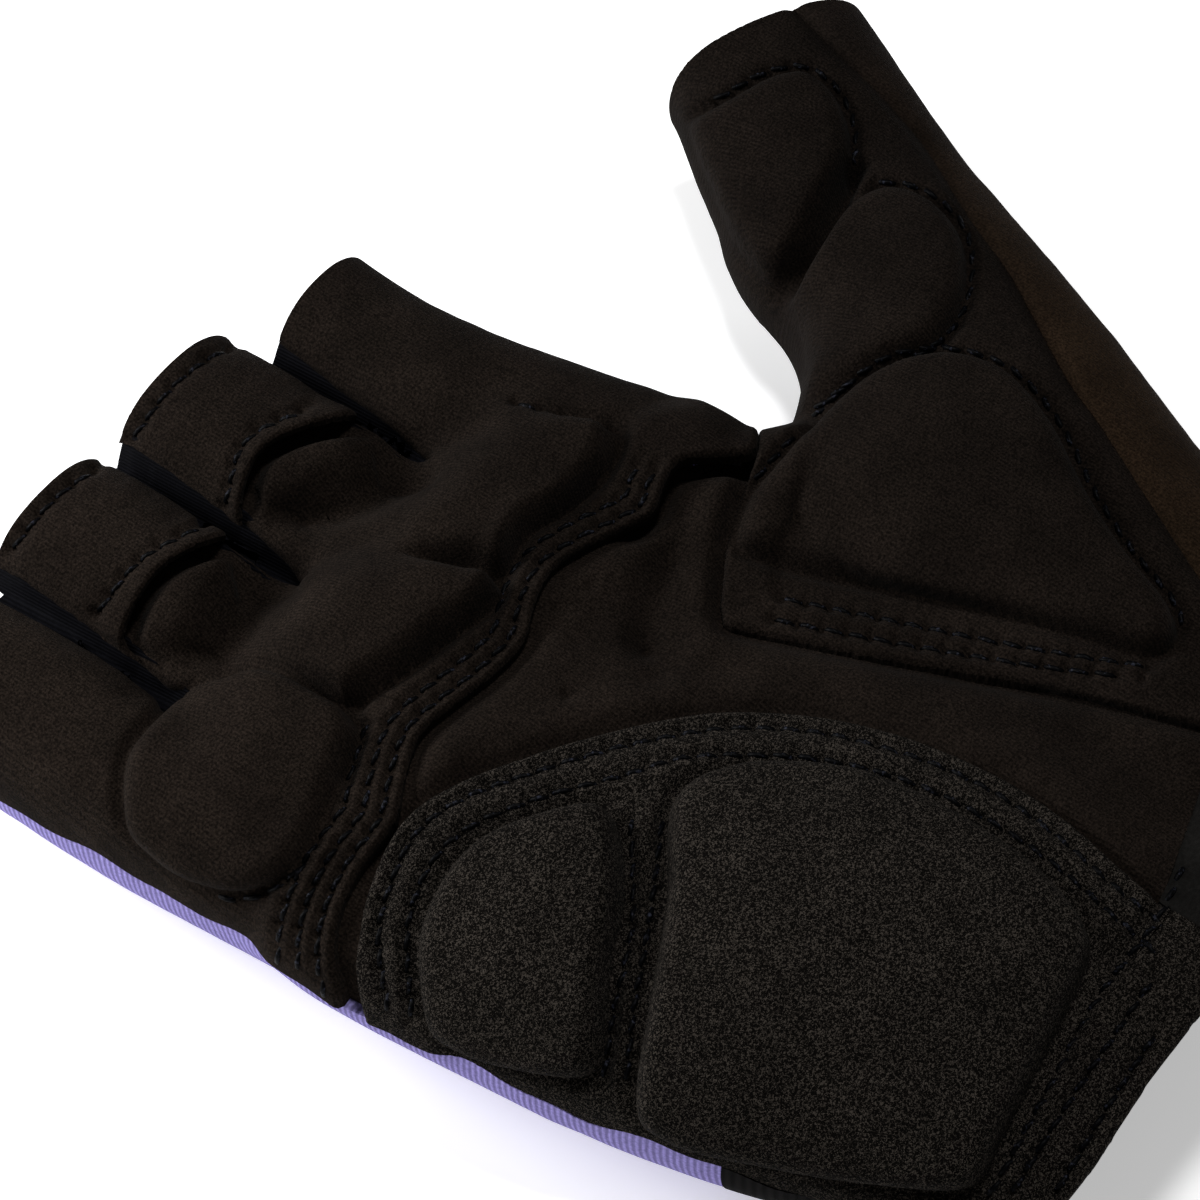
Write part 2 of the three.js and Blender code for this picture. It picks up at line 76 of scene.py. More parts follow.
# A row for each section: x, y, heading, half width, bottom, top, hollow, x of the hollow
PALM_ROWS = np.array([
    [-2.7, -87, 0, 32.7, 1.0, 25.5, 0, 0],
    [-3.4, -78, 0, 34.0, -0.5, 27.5, 0, 0],
    [-5.6, -62, 0, 36.6, -1.5, 29.0, 0.5, 18],
    [-8.0, -42, 0, 40.5, -1.5, 29.5, 1.5, 20],
    [-9.7, -20, 0, 42.3, -1.5, 28.5, 3.0, 16],
    [-10.1, 0, 0, 44.2, -1.5, 28.0, 3.5, 12],
    [-9.6, 12, 0, 44.2, -1.5, 28.5, 0.8, 8],
    [-10.6, 24, 0, 44.0, -1.0, 28.0, 0, 0],
    [-11.9, 31.5, 0, 41.2, 1.0, 24.0, 0, 0],
])
THUMB_ROWS = np.array([
    [17.0, -80, 25, 13.0, 1.0, 25.0, 0, 0],
    [38.5, -52.3, 27, 20.6, -1.0, 29.0, 0, 0],
    [47.6, -22.3, 29, 26.8, -1.5, 30.5, 0, 0],
    [66.6, -1.6, 29, 17.6, -0.5, 28.5, 0, 0],
    [75.8, 17.1, 27, 16.6, 2.0, 26.0, 0, 0],
    [88.8, 39.5, 27, 14.2, 5.5, 26.5, 0, 0],
])
LITTLE_ROWS = np.array([
    [-42.6, 6, -2, 9.9, 0.5, 25.5, 0, 0],
    [-45.8, 33, -2, 9.5, 1.5, 24.0, 0, 0],
    [-46.3, 63, -2, 10.1, 3.5, 23.0, 0, 0],
])
RING_ROWS = np.array([
    [-24.5, 6, -1, 10.0, 0.5, 27.0, 0, 0],
    [-25.3, 33, -1, 10.0, 1.5, 26.0, 0, 0],
    [-25.6, 65, -1, 11.0, 4.5, 26.0, 0, 0],
])
MIDDLE_ROWS = np.array([
    [-3.2, 6, 0, 10.5, 0.5, 28.0, 0, 0],
    [-3.0, 33, 0, 10.7, 1.5, 27.0, 0, 0],
    [-2.5, 64.4, 0, 11.5, 4.5, 27.0, 0, 0],
])
INDEX_ROWS = np.array([
    [20.4, -8, 0, 11.0, 0.5, 25.0, 0, 0],
    [23.4, 6, 0, 13.6, 0.5, 28.0, 0, 0],
    [20.7, 26, 0, 12.2, 1.2, 27.2, 0, 0],
    [19.6, 38, 0, 10.6, 1.9, 26.8, 0, 0],
    [19.2, 48, 0, 9.9, 2.8, 26.5, 0, 0],
    [19.6, 58.8, 0, 9.9, 4.0, 26.8, 0, 0],
])
# The web between the index finger and the thumb
WEB_ROWS = np.array([
    [17.0, 7, 127, 8.0, 2.0, 27.0, 0, 0],
    [30.6, -3, 127, 8.4, 1.0, 27.0, 0, 0],
    [41.4, -9.8, 127, 9.4, 0.5, 28.0, 0, 0],
    [50.0, -14, 127, 11.0, 0.5, 28.5, 0, 0],
])
FINGERS = {"little": LITTLE_ROWS, "ring": RING_ROWS, "middle": MIDDLE_ROWS, "index": INDEX_ROWS}
TIP_Y = {"little": 62.6, "ring": 64.8, "middle": 64.2, "index": 58.7}
BETWEEN_FINGERS = [-200, -36.7, -14.0, 9.2, 200]
SQUARENESS = 2.5
DIP_WIDTH = 15.0

# Seams in view coordinates, with the corners that close the region on their far side
SEAMS = {
    "fingers": (
        [(-75, -26), (-66, -15), (-61, -10), (-57, -5.5), (-52, -2.5), (-46, -0.8), (-39, 0), (-34, 2.5),
         (-28, 5), (-22, 4.5), (-16, 3.5), (-10, 3.5), (-5, 5.8), (0, 7), (5, 5.8), (10, 3.8), (14, 2.6),
         (18, 4), (22, 4.5), (25, 1.5), (28, -1.5), (31, -0.5), (36, 4), (41, 12), (46, 22), (54, 90)],
        [(54, 130), (-130, 130), (-130, -26)],
    ),
    "thumb": (
        [(54, 90), (46, 22), (41, 12), (36, 4), (31, -0.5), (28, -2.3), (22, -4.5), (16, -7), (11, -10),
         (7.5, -12.5), (6.5, -14.5), (8.5, -20), (11, -26), (14.5, -34), (18.5, -42.5), (22, -51),
         (25.5, -60), (28, -67), (31, -75), (34, -84), (37, -110)],
        [(150, -110), (150, 130), (54, 130)],
    ),
    "heel": (
        [(-75, -34), (-60, -12), (-52, -5.5), (-45, -2.2), (-38, -0.6), (-31, -2.2), (-23, -6.5),
         (-16, -11), (-9, -16.5), (-3.5, -22), (1.7, -30), (5, -38), (7, -46), (7.8, -54), (7.2, -62),
         (5.6, -70), (4.5, -80), (4, -110)],
        [(-130, -110), (-130, -34)],
    ),
    "cuff": (
        [(-75, -90), (-62, -86), (-45, -82.5), (-38, -81), (-20, -78.5), (-5, -76), (4.5, -75.5),
         (12, -73.5), (20, -71), (36, -66), (60, -60)],
        [(60, -130), (-75, -130)],
    ),
    "thumb_side": (
        [(101, 70), (95, 55), (91, 42), (86.8, 28.2), (83.1, 16), (79.9, 8.4), (74.9, -0.7), (70.1, -10.5),
         (66.3, -16.6), (60.5, -25.7), (57, -33), (46.6, -52.3), (41.5, -64), (38, -76), (37.5, -86),
         (39, -110)],
        [(150, -110), (150, 64)],
    ),
}
# Seams of the back, on the plan
BACK_SEAMS = {
    "thumb_back": (
        [(50, 90), (40, 8), (31, -6), (28, -30), (27, -52), (25, -70), (24, -110)],
        [(150, -110), (150, 90)],
    ),
    "wrist_band": (
        [(-90, -50), (-36, -52), (0, -56), (30, -60), (100, -60)],
        [(100, -130), (-90, -130)],
    ),
}

# Pads in view coordinates: the outline, how far the crown stands up, and how wide the rounded edge is
PADS = {
    "knuckle_pad_little": {
        "rise": 2.6, "edge": 3.0,
        "outline": [(-59, 19), (-57.5, 24.5), (-51, 30), (-45, 31), (-38, 30), (-32, 26), (-30, 18),
                    (-31, 11.5), (-36, 9.5), (-47, 6.3), (-53, 6), (-57, 8.5), (-59, 14)],
    },
    "knuckle_pad_middle": {
        "rise": 3.2, "edge": 3.4, "soft_from": 17.0,
        "outline": [(-29, 26), (-20, 29.5), (-12.5, 27), (-9, 22), (-6, 16), (-5, 10.8), (-9, 10),
                    (-15, 11), (-22, 12.2), (-27.5, 13.8), (-29.5, 17)],
    },
    "knuckle_pad_index": {
        "rise": 3.1, "edge": 3.4, "soft_from": 17.0,
        "outline": [(-8.5, 23), (-5, 26.5), (3, 28), (11, 27.8), (16.5, 26.5), (19, 20.5), (22, 13.5),
                    (17, 11.2), (10, 11), (3, 12.8), (-3, 11.8), (-4.5, 15), (-7, 20)],
    },
    "heel_pad_small": {
        "rise": 3.6, "edge": 3.0,
        "outline": [(-38, -8.5), (-30, -11.2), (-22.8, -18), (-30, -26), (-40, -31.5), (-51, -38),
                    (-56, -31), (-58, -22), (-55, -16.5), (-48, -11)],
    },
    "heel_pad_large": {
        "rise": 4.1, "edge": 3.2,
        "outline": [(-17.5, -23.5), (-10, -26.5), (-5, -32.5), (-1.2, -40), (0.3, -50), (0.2, -60),
                    (-1.6, -68), (-4.5, -72.5), (-10, -74.5), (-20, -76.5), (-30, -78.3), (-38, -79.3),
                    (-43.5, -72), (-50, -58), (-53, -49), (-51.5, -43.5), (-40, -37), (-28, -30.5)],
    },
    "thenar_pad": {
        "rise": 2.8, "edge": 3.4,
        "outline": [(15.8, -9), (19, -6.5), (25, -5), (36, -5), (48, -6.2), (53.5, -10), (56.3, -15),
                    (56.6, -20.5), (53.5, -28.5), (47.5, -37.5), (43, -46), (40, -53.5), (36.5, -57),
                    (32.5, -56), (29.5, -47), (26, -37), (21.5, -25.5), (17.5, -15)],
    },
    "thumb_joint_pad": {
        "rise": 2.0, "edge": 3.2, "sides_fade": True,
        "outline": [(38, -3), (43.6, -4.2), (48.7, -6.4), (53.9, -8.8), (59.5, -9.2), (65.6, -7),
                    (71.1, -2.6), (73.4, 3.3), (72.6, 8.1), (69.6, 10.8), (64.2, 11.6), (56, 10.2),
                    (51.2, 9.2), (45, 9.4), (38, 14), (31, 6), (34, -1)],
    },
    "thumb_tip_pad": {
        "rise": 1.9, "edge": 3.2, "sides_fade": True,
        "outline": [(72, 15.6), (75.5, 17.5), (78.5, 20.5), (80.8, 24.5), (81, 28.8), (77.5, 31.8),
                    (72, 33.6), (66, 35.5), (54, 38), (44, 30), (40, 16), (46, 10.6), (55.5, 12.4),
                    (64.4, 14)],
    },
}

# Pull tabs in view coordinates: the finger, the free arched edge, and the two ends of the dent below it
TABS = {
    "pull_tab_middle": {
        "finger": "middle",
        "arch": [(-19, 36), (-16.7, 41), (-7, 45.5), (2.5, 40.5), (6, 34)],
        "dent": [(-12, 36), (2.5, 30.6)],
    },
    "pull_tab_ring": {
        "finger": "ring",
        "arch": [(-39.5, 36), (-37.8, 41.3), (-28, 44), (-19.5, 40.5), (-17, 35)],
        "dent": [(-34, 32), (-20.5, 34)],
    },
}
TAB_SINK = 3.4
DENT_DEPTH = 4.6
DENT_WIDTH = 3.9

# Right of these lines the glove turns away from the camera
TURNED_AWAY = [
    [(19, 80), (19, 30), (26, 8), (34, 3), (37, 14), (44, 80)],
    [(99, 62), (88.8, 39.5), (75.8, 17.1), (66.6, -1.6), (47.6, -22.3), (38.5, -52.3), (20, -80),
     (12, -110), (150, -110), (150, 62)],
]
LOWEST_SEEN_Z = 20.0


def smooth_line(points, closed=False, per_span=5):
    """A Catmull-Rom curve through the points, as a polyline."""
    p = np.array(points, float)
    n = len(p)
    if closed:
        a, b, c, d = np.roll(p, 1, 0), p, np.roll(p, -1, 0), np.roll(p, -2, 0)
    else:
        padded = np.vstack([2 * p[0] - p[1], p, 2 * p[-1] - p[-2]])
        a, b, c, d = padded[:-3], padded[1:-2], padded[2:-1], padded[3:]
    t = (np.arange(per_span) / per_span)[None, :, None]
    a, b, c, d = (x[:, None, :] for x in (a, b, c, d))
    curve = 0.5 * (2 * b + (c - a) * t + (2 * a - 5 * b + 4 * c - d) * t**2 + (3 * b - a - 3 * c + d) * t**3)
    curve = curve.reshape(-1, 2)
    return np.vstack([curve, curve[:1] if closed else p[n - 1:]])


def nearest(points, line, reach=14.0):
    """Distance from each point to a polyline, and how far along the line its nearest place is."""
    distance = np.full(len(points), FAR)
    along = np.zeros(len(points))
    low, high = line.min(0) - reach, line.max(0) + reach
    near = np.flatnonzero(((points > low) & (points < high)).all(1))
    start, step = line[:-1], np.diff(line, axis=0)
    length = np.linalg.norm(step, axis=1)
    run = np.concatenate([[0], np.cumsum(length)[:-1]])
    for part in np.array_split(near, max(1, len(near) // 20000)):
        rel = points[part, None, :] - start[None]
        t = np.clip((rel * step).sum(2) / np.maximum(length**2, 1e-9), 0, 1)
        off = np.linalg.norm(rel - t[..., None] * step, axis=2)
        best = off.argmin(1)
        rows = np.arange(len(part))
        distance[part] = off[rows, best]
        along[part] = run[best] + t[rows, best] * length[best]
    return distance, along


def inside(points, polygon):
    """Which points are inside a polygon."""
    found = np.zeros(len(points), bool)
    x, y = points[:, 0], points[:, 1]
    for (x0, y0), (x1, y1) in zip(polygon, np.roll(polygon, -1, axis=0)):
        if y0 == y1:
            continue
        crosses = ((y0 > y) != (y1 > y)) & (x < (x1 - x0) * (y - y0) / (y1 - y0) + x0)
        found ^= crosses
    return found


def side_of(points, seam, reach=400.0):
    """Distance from a seam, positive in the region that its corners close."""
    line = smooth_line(seam[0])
    region = np.vstack([line, seam[1]])
    distance, _ = nearest(points, line, reach)
    return np.where(inside(points, region), distance, -distance)


def within(points, outline):
    """Distance from a closed outline, positive inside."""
    line = smooth_line(outline, closed=True)
    distance, _ = nearest(points, line)
    return np.where(inside(points, line[:-1]), distance, -distance)


def unit(vectors):
    return vectors / np.maximum(np.linalg.norm(vectors, axis=1), 1e-12)[:, None]


def bump(distance, width):
    return np.exp(-((distance / width) ** 2))


def ease(value, low, high):
    """0 below low, 1 above high, and smooth between."""
    t = np.clip((value - low) / (high - low), 0, 1)
    return t * t * (3 - 2 * t)


def pillow(inwards, edge):
    """A rounded edge that rises to 1, by distance inwards from the outline."""
    t = np.clip(inwards / edge, 0, 1)
    return (1 - (1 - t) ** 2.4) * 0.86 + 0.14 * ease(inwards, 0, 4 * edge)


def wobble(points, size, seed):
    """Smooth noise from -1 to 1, on a lattice with this spacing."""
    rng = np.random.default_rng(seed)
    lattice = rng.uniform(-1, 1, (40, 40, 16))
    place = (points - points.min(0)) / size
    cell = np.floor(place).astype(int)
    t = place - cell
    t = t * t * (3 - 2 * t)
    total = 0
    for i in (0, 1):
        for j in (0, 1):
            for k in (0, 1):
                share = np.prod([t[:, a] if c else 1 - t[:, a] for a, c in enumerate((i, j, k))], axis=0)
                corner = (cell + (i, j, k)) % lattice.shape
                total = total + share * lattice[tuple(corner.T)]
    return total


def seen_at(points):
    """View coordinates of points on the drawing."""
    away = np.zeros(len(points), bool)
    for polygon in TURNED_AWAY:
        away |= inside(points[:, :2], np.array(polygon, float))
    height = np.where(away, np.maximum(points[:, 2], LOWEST_SEEN_Z), points[:, 2])
    scale = (EYE[2] - PALM_LEVEL) / (EYE[2] - height)
    return EYE[:2] + (points[:, :2] - EYE[:2]) * scale[:, None]


# Lofts

def row_at(rows, place):
    last = len(rows) - 1
    row = min(int(place), last - 1)
    t = place - row
    a, b, c, d = (rows[min(max(row + k, 0), last)] for k in (-1, 0, 1, 2))
    return 0.5 * (2 * b + (c - a) * t + (2 * a - 5 * b + 4 * c - d) * t**2 + (3 * b - a - 3 * c + d) * t**3)


def ring(section, sides, slide):
    x, y, heading, half, bottom, top, hollow, dip_x = section
    turn = math.radians(heading)
    angle = 2 * np.pi * (np.arange(sides) + 0.5) / sides
    power = 2 / SQUARENESS
    side = half * np.sign(np.cos(angle)) * np.abs(np.cos(angle)) ** power
    lift = (top - bottom) / 2 * np.sign(np.sin(angle)) * np.abs(np.sin(angle)) ** power
    dip = hollow * bump(side - dip_x, DIP_WIDTH) * np.maximum(0, np.sin(angle))
    return np.stack([
        x + side * math.cos(turn) + slide * math.sin(turn),
        y - side * math.sin(turn) + slide * math.cos(turn),
        (top + bottom) / 2 + lift - dip,
    ], 1)


def loft(rows, sides=56, steps=8, slide_start=0.0, slide_end=0.0):
    """A closed mesh through the sections of a table."""
    count = (len(rows) - 1) * steps
    slides = [-slide_start] + [0.0] * (count - 1) + [slide_end]
    rings = [ring(row_at(rows, i / steps), sides, slides[i]) for i in range(count + 1)]
    points = np.vstack(rings)
    faces = [tuple(range(sides))[::-1], tuple(range(count * sides, (count + 1) * sides))]
    for r in range(count):
        for i in range(sides):
            low, nxt = r * sides + i, r * sides + (i + 1) % sides
            faces.append((low, nxt, nxt + sides, low + sides))
    return points, faces


def evaluated(obj):
    """The points and triangles of an object after its modifiers, with the object removed."""
    made = obj.evaluated_get(bpy.context.evaluated_depsgraph_get()).to_mesh()
    made.calc_loop_triangles()
    points = np.zeros(len(made.vertices) * 3, np.float32)
    faces = np.zeros(len(made.loop_triangles) * 3, np.int32)
    made.vertices.foreach_get("co", points)
    made.loop_triangles.foreach_get("vertices", faces)
    mesh = obj.data
    bpy.data.objects.remove(obj)
    bpy.data.meshes.remove(mesh)
    return points.reshape(-1, 3).astype(float), faces.reshape(-1, 3)


def linked(name, data):
    """A new object in the scene."""
    obj = bpy.data.objects.new(name, data)
    bpy.context.collection.objects.link(obj)
    return obj


def temporary(points, faces):
    mesh = bpy.data.meshes.new("temporary")
    mesh.from_pydata(points.tolist(), [], faces)
    mesh.validate()
    return linked("temporary", mesh)


def joined_lofts():
    """One object with the lofts of the palm, the thumb and the fingers."""
    parts = [loft(PALM_ROWS, sides=96, slide_start=6.0), loft(THUMB_ROWS, sides=64, slide_end=6.0)]
    parts.append(loft(WEB_ROWS))
    parts += [loft(rows, slide_end=6.0) for rows in FINGERS.values()]
    points, faces = [], []
    for part_points, part_faces in parts:
        start = sum(len(p) for p in points)
        faces += [tuple(start + i for i in face) for face in part_faces]
        points.append(part_points)
    return temporary(np.vstack(points), faces)


def glove_skin():
    """The outer skin of the whole glove as fine triangles, with the back pressed flat on the floor."""
    obj = joined_lofts()
    remesh = obj.modifiers.new("remesh", "REMESH")
    remesh.mode = "VOXEL"
    remesh.voxel_size = VOXEL
    relax = obj.modifiers.new("relax", "SMOOTH")
    relax.factor = 0.5
    relax.iterations = 12
    finer = obj.modifiers.new("finer", "SUBSURF")
    finer.levels = 1
    points, faces = evaluated(obj)
    points += vertex_normals(points, faces) * swelling(points)[:, None]
    points[:, 2] = np.maximum(points[:, 2], 0)
    return points, faces


# Cloth simulation of the filled glove, held at its seams

COARSE = 4.5
HELD_WITHIN = 2.4
PRESSURE = 60.0
LAST_FRAME = 20
MOST_SWELLING = 1.3


def held_points(points):
    """Which points of the coarse skin the seams, the open ends and the floor hold."""
    seen = seen_at(points)
    held = (np.abs(points[:, 2] - SIDE_SEAM_Z) < HELD_WITHIN) | (points[:, 2] < 1.5)
    held |= tip_distance(points) < HELD_WITHIN
    for seam in SEAMS.values():
        held |= np.abs(side_of(seen, seam)) < HELD_WITHIN
    for pad in PADS.values():
        held |= np.abs(within(seen, pad["outline"])) < HELD_WITHIN
    return held


def simulated(obj):
    """Where the cloth of an object has moved after the last frame, in metres."""
    scene = bpy.context.scene
    cloth = obj.modifiers.new("cloth", "CLOTH")
    cloth.settings.quality = 6
    cloth.settings.mass = 0.01
    cloth.settings.tension_stiffness = 2
    cloth.settings.compression_stiffness = 2
    cloth.settings.bending_stiffness = 0.3
    cloth.settings.air_damping = 4
    cloth.settings.vertex_group_mass = "held"
    cloth.settings.use_pressure = True
    cloth.settings.uniform_pressure_force = PRESSURE
    cloth.settings.effector_weights.gravity = 0
    cloth.point_cache.frame_start = 1
    cloth.point_cache.frame_end = LAST_FRAME
    for number in range(1, LAST_FRAME + 1):
        scene.frame_set(number)
    points, _ = evaluated(obj)
    scene.frame_set(1)
    return points


def swelling(points):
    """How far the pressure inside pushes each point out between the seams, in millimetres."""
    obj = joined_lofts()
    remesh = obj.modifiers.new("remesh", "REMESH")
    remesh.mode = "VOXEL"
    remesh.voxel_size = COARSE
    rest, faces = evaluated(obj)
    normals = vertex_normals(rest, faces)
    coarse = temporary(rest * MM, faces.tolist())
    group = coarse.vertex_groups.new(name="held")
    group.add(np.flatnonzero(held_points(rest)).tolist(), 1.0, "REPLACE")
    moved = simulated(coarse) / MM - rest
    outwards = np.clip((moved * normals).sum(1), -MOST_SWELLING, MOST_SWELLING)
    tree = KDTree(len(rest))
    for number, place in enumerate(rest):
        tree.insert(place, number)
    tree.balance()
    found = [tree.find_n(place, 6) for place in points]
    near = np.array([[hit[1] for hit in hits] for hits in found])
    distance = np.array([[hit[2] for hit in hits] for hits in found])
    weight = 1 / (distance**2 + 2.0)
    return (outwards[near] * weight).sum(1) / weight.sum(1)


def vertex_normals(points, faces):
    a, b, c = (points[faces[:, i]] for i in range(3))
    face = np.cross(b - a, c - a)
    normals = np.stack([
        sum(np.bincount(faces[:, i], face[:, axis], len(points)) for i in range(3)) for axis in range(3)
    ], 1)
    return unit(normals)


# A surface is a dict: "faces", and for each vertex "at", "normal", "seen" and the named distances.

def split(surface, name, offset=0.0):
    """The surface with its triangles cut along the line where the named distance plus offset is zero."""
    faces = surface["faces"]
    level = surface[name] + offset
    level = np.where(np.abs(level) < SNAP, 0, level)
    pairs = np.stack([faces, np.roll(faces, -1, axis=1)], 2)
    crossed = level[pairs[..., 0]] * level[pairs[..., 1]] < 0
    low, high = pairs.min(2), pairs.max(2)
    count = len(level)
    keys, which = np.unique(low[crossed].astype(np.int64) * count + high[crossed], return_inverse=True)
    a, b = keys // count, keys % count
    share = level[a] / (level[a] - level[b])
    made = {"faces": None}
    for key, values in surface.items():
        if key != "faces":
            weight = share if values.ndim == 1 else share[:, None]
            made[key] = np.concatenate([values, values[a] + (values[b] - values[a]) * weight])
    made[name][count:] = -offset
    cut = np.full(faces.shape, -1)
    cut[crossed] = count + which
    number = crossed.sum(1)
    parts = [faces[number == 0]]
    for turn in range(3):
        f, c = np.roll(faces, -turn, 1), np.roll(cut, -turn, 1)
        one = (number == 1) & (c[:, 0] >= 0)
        parts.append(np.stack([f[one, 0], c[one, 0], f[one, 2]], 1))
        parts.append(np.stack([c[one, 0], f[one, 1], f[one, 2]], 1))
        two = (number == 2) & (c[:, 0] >= 0) & (c[:, 2] >= 0)
        parts.append(np.stack([f[two, 0], c[two, 0], c[two, 2]], 1))
        parts.append(np.stack([c[two, 0], f[two, 1], f[two, 2]], 1))
        parts.append(np.stack([c[two, 0], f[two, 2], c[two, 2]], 1))
    made["faces"] = np.concatenate(parts)
    return made


def keep(surface, wanted):
    """The part of a surface with only the wanted triangles."""
    used, faces = np.unique(surface["faces"][wanted], return_inverse=True)
    made = {key: values[used] for key, values in surface.items() if key != "faces"}
    made["faces"] = faces.reshape(-1, 3)
    return made


def above(surface, name, offset=0.0):
    """Which triangles lie where the named distance plus offset is positive."""
    level = surface[name] + offset
    level = np.where(np.abs(level) < SNAP, 0, level)
    return level[surface["faces"]].sum(1) > 0


def cut_to(surface, *bounds):
    """The part of a surface where each distance, plus its offset and times its sign, is positive."""
    for name, sign, offset in bounds:
        surface = split(surface, name, offset)
        on = above(surface, name, offset)
        surface = keep(surface, on if sign > 0 else ~on)
    return surface


def finger_ratio(points, rows):
    """How far across a finger each point is: 0 on its centre line and 1 at its side, towards the thumb."""
    centre = np.interp(points[:, 1], rows[:, 1], rows[:, 0])
    half = np.interp(points[:, 1], rows[:, 1], rows[:, 3])
    return (points[:, 0] - centre) / half, half


def fourchette_distance(points, rows_a, rows_b):
    """Distance into the strip of side wall between two fingers."""
    ratio_a, half_a = finger_ratio(points, rows_a)
    ratio_b, half_b = finger_ratio(points, rows_b)
    ratio = np.minimum(ratio_a, -ratio_b)
    border = np.interp(points[:, 1], [28.0, 32.0, 61.0], [1.3, 1.02, 0.86])
    across = (ratio - border) * (half_a + half_b) / 2
    return np.minimum(across, points[:, 2] - FOURCHETTE_BOTTOM_Z)


# The side seam on the little finger's side: y and height
SIDE_SEAM_ROWS = np.array([
    [-87, 10], [-60, 14.6], [-45, 15.2], [-25, 14.6], [-5, 13.4], [15, 13], [45, 12.5],
])


def side_seam_height(points):
    """The height of the side seam, which rises and falls along the little finger's side."""
    centre = np.interp(points[:, 1], PALM_ROWS[:, 1], PALM_ROWS[:, 0])
    half = np.interp(points[:, 1], PALM_ROWS[:, 1], PALM_ROWS[:, 3])
    outer = ease((centre - points[:, 0]) / half, 0.8, 0.95)
    height = np.interp(points[:, 1], SIDE_SEAM_ROWS[:, 0], SIDE_SEAM_ROWS[:, 1])
    height = height + 0.5 * np.sin(points[:, 1] / 4.1) + 0.3 * np.sin(points[:, 1] / 1.7 + 1)
    return SIDE_SEAM_Z + outer * (height - SIDE_SEAM_Z)


def tip_distance(points):
    """Distance inside the open ends of the fingers, the thumb and the wrist."""
    tips = np.full(len(points), FAR)
    for (name, rows), low, high in zip(FINGERS.items(), BETWEEN_FINGERS[:-1], BETWEEN_FINGERS[1:]):
        here = (points[:, 0] >= low) & (points[:, 0] < high) & (points[:, 0] < 45)
        ratio, _ = finger_ratio(points, rows)
        tip = TIP_Y[name] - 0.5 * ratio**2
        tips = np.where(here, np.minimum(tips, tip - points[:, 1]), tips)
    x, y, heading = THUMB_ROWS[-1][:3]
    turn = math.radians(heading)
    past = (points[:, 0] - x) * math.sin(turn) + (points[:, 1] - y) * math.cos(turn)
    tips = np.where(points[:, 0] > 50, np.minimum(tips, -past), tips)
    wrist = points[:, 1] + 86.3 + 1.6 * ((points[:, 0] + 4) / 30) ** 2
    wrist -= WRIST_SLANT * np.maximum(0, 24 - points[:, 2])
    return np.minimum(tips, wrist)


def prepared_skin():
    """The whole skin as a surface with every distance that the panels are cut by."""
    points, faces = glove_skin()
    seen = seen_at(points)
    plan = points[:, :2]
    surface = {"faces": faces, "at": points, "normal": vertex_normals(points, faces), "seen": seen}
    surface["tips"] = tip_distance(points)
    surface["side"] = points[:, 2] - side_seam_height(points)
    for name, seam in SEAMS.items():
        surface[name] = side_of(seen, seam)
    for name, seam in BACK_SEAMS.items():
        surface[name] = side_of(plan, seam)
    fingers = list(FINGERS.items())
    for (name_a, rows_a), (name_b, rows_b) in zip(fingers[:-1], fingers[1:]):
        surface[f"between_{name_a}_{name_b}"] = fourchette_distance(points, rows_a, rows_b)
    for name, pad in PADS.items():
        surface[name] = within(seen, pad["outline"])
    for name, tab in TABS.items():
        distance, _ = nearest(seen, smooth_line(tab["arch"]), 60.0)
        region = np.vstack([smooth_line(tab["arch"]), [(tab["arch"][-1][0], 99), (tab["arch"][0][0], 99)]])
        surface[name] = np.where(inside(seen, region), distance, -distance)
    return cut_to(surface, ("tips", 1, 0))


# Stitch rows

def offset_line(line, distance, start=0, stop=None):
    """A polyline moved to its left side by a distance."""
    along = unit(np.gradient(line, axis=0))
    moved = line + distance * np.stack([-along[:, 1], along[:, 0]], 1)
    return moved[start:stop]


def between_x(line, low, high):
    return line[(line[:, 0] >= low) & (line[:, 0] <= high)]


def arc_of(outline, first, last, outwards):
    """The stretch of a closed outline between two of its points, moved outwards."""
    line = smooth_line(outline, closed=True)[:-1]
    turned = np.sum((line[:, 0] * np.roll(line[:, 1], -1)) - (np.roll(line[:, 0], -1) * line[:, 1])) > 0
    moved = offset_line(line, -outwards if turned else outwards)
    start, stop = first * 5, last * 5
    index = np.arange(start, stop if stop > start else stop + len(line)) % len(line)
    return moved[index]


WAVE_LINE = smooth_line(SEAMS["fingers"][0])
HEEL_OUTER = [(-59, -15), (-52, -8), (-45, -4.5), (-38, -2.8), (-31, -4.5), (-24, -8.5), (-17, -13),
              (-10, -18.5), (-5, -23.5), (0, -31), (3, -38.5), (5, -46), (5.7, -54), (5, -62),
              (3.5, -70), (2.3, -79)]
HEEL_INNER = [(-58, -17.5), (-50, -10.5), (-44, -7.5), (-38, -6.5), (-32, -8), (-25, -12), (-18, -17),
              (-12, -21), (-7, -27), (-2.5, -34), (1, -43.5), (2.2, -53), (1.8, -63), (0, -73), (-1.5, -82)]
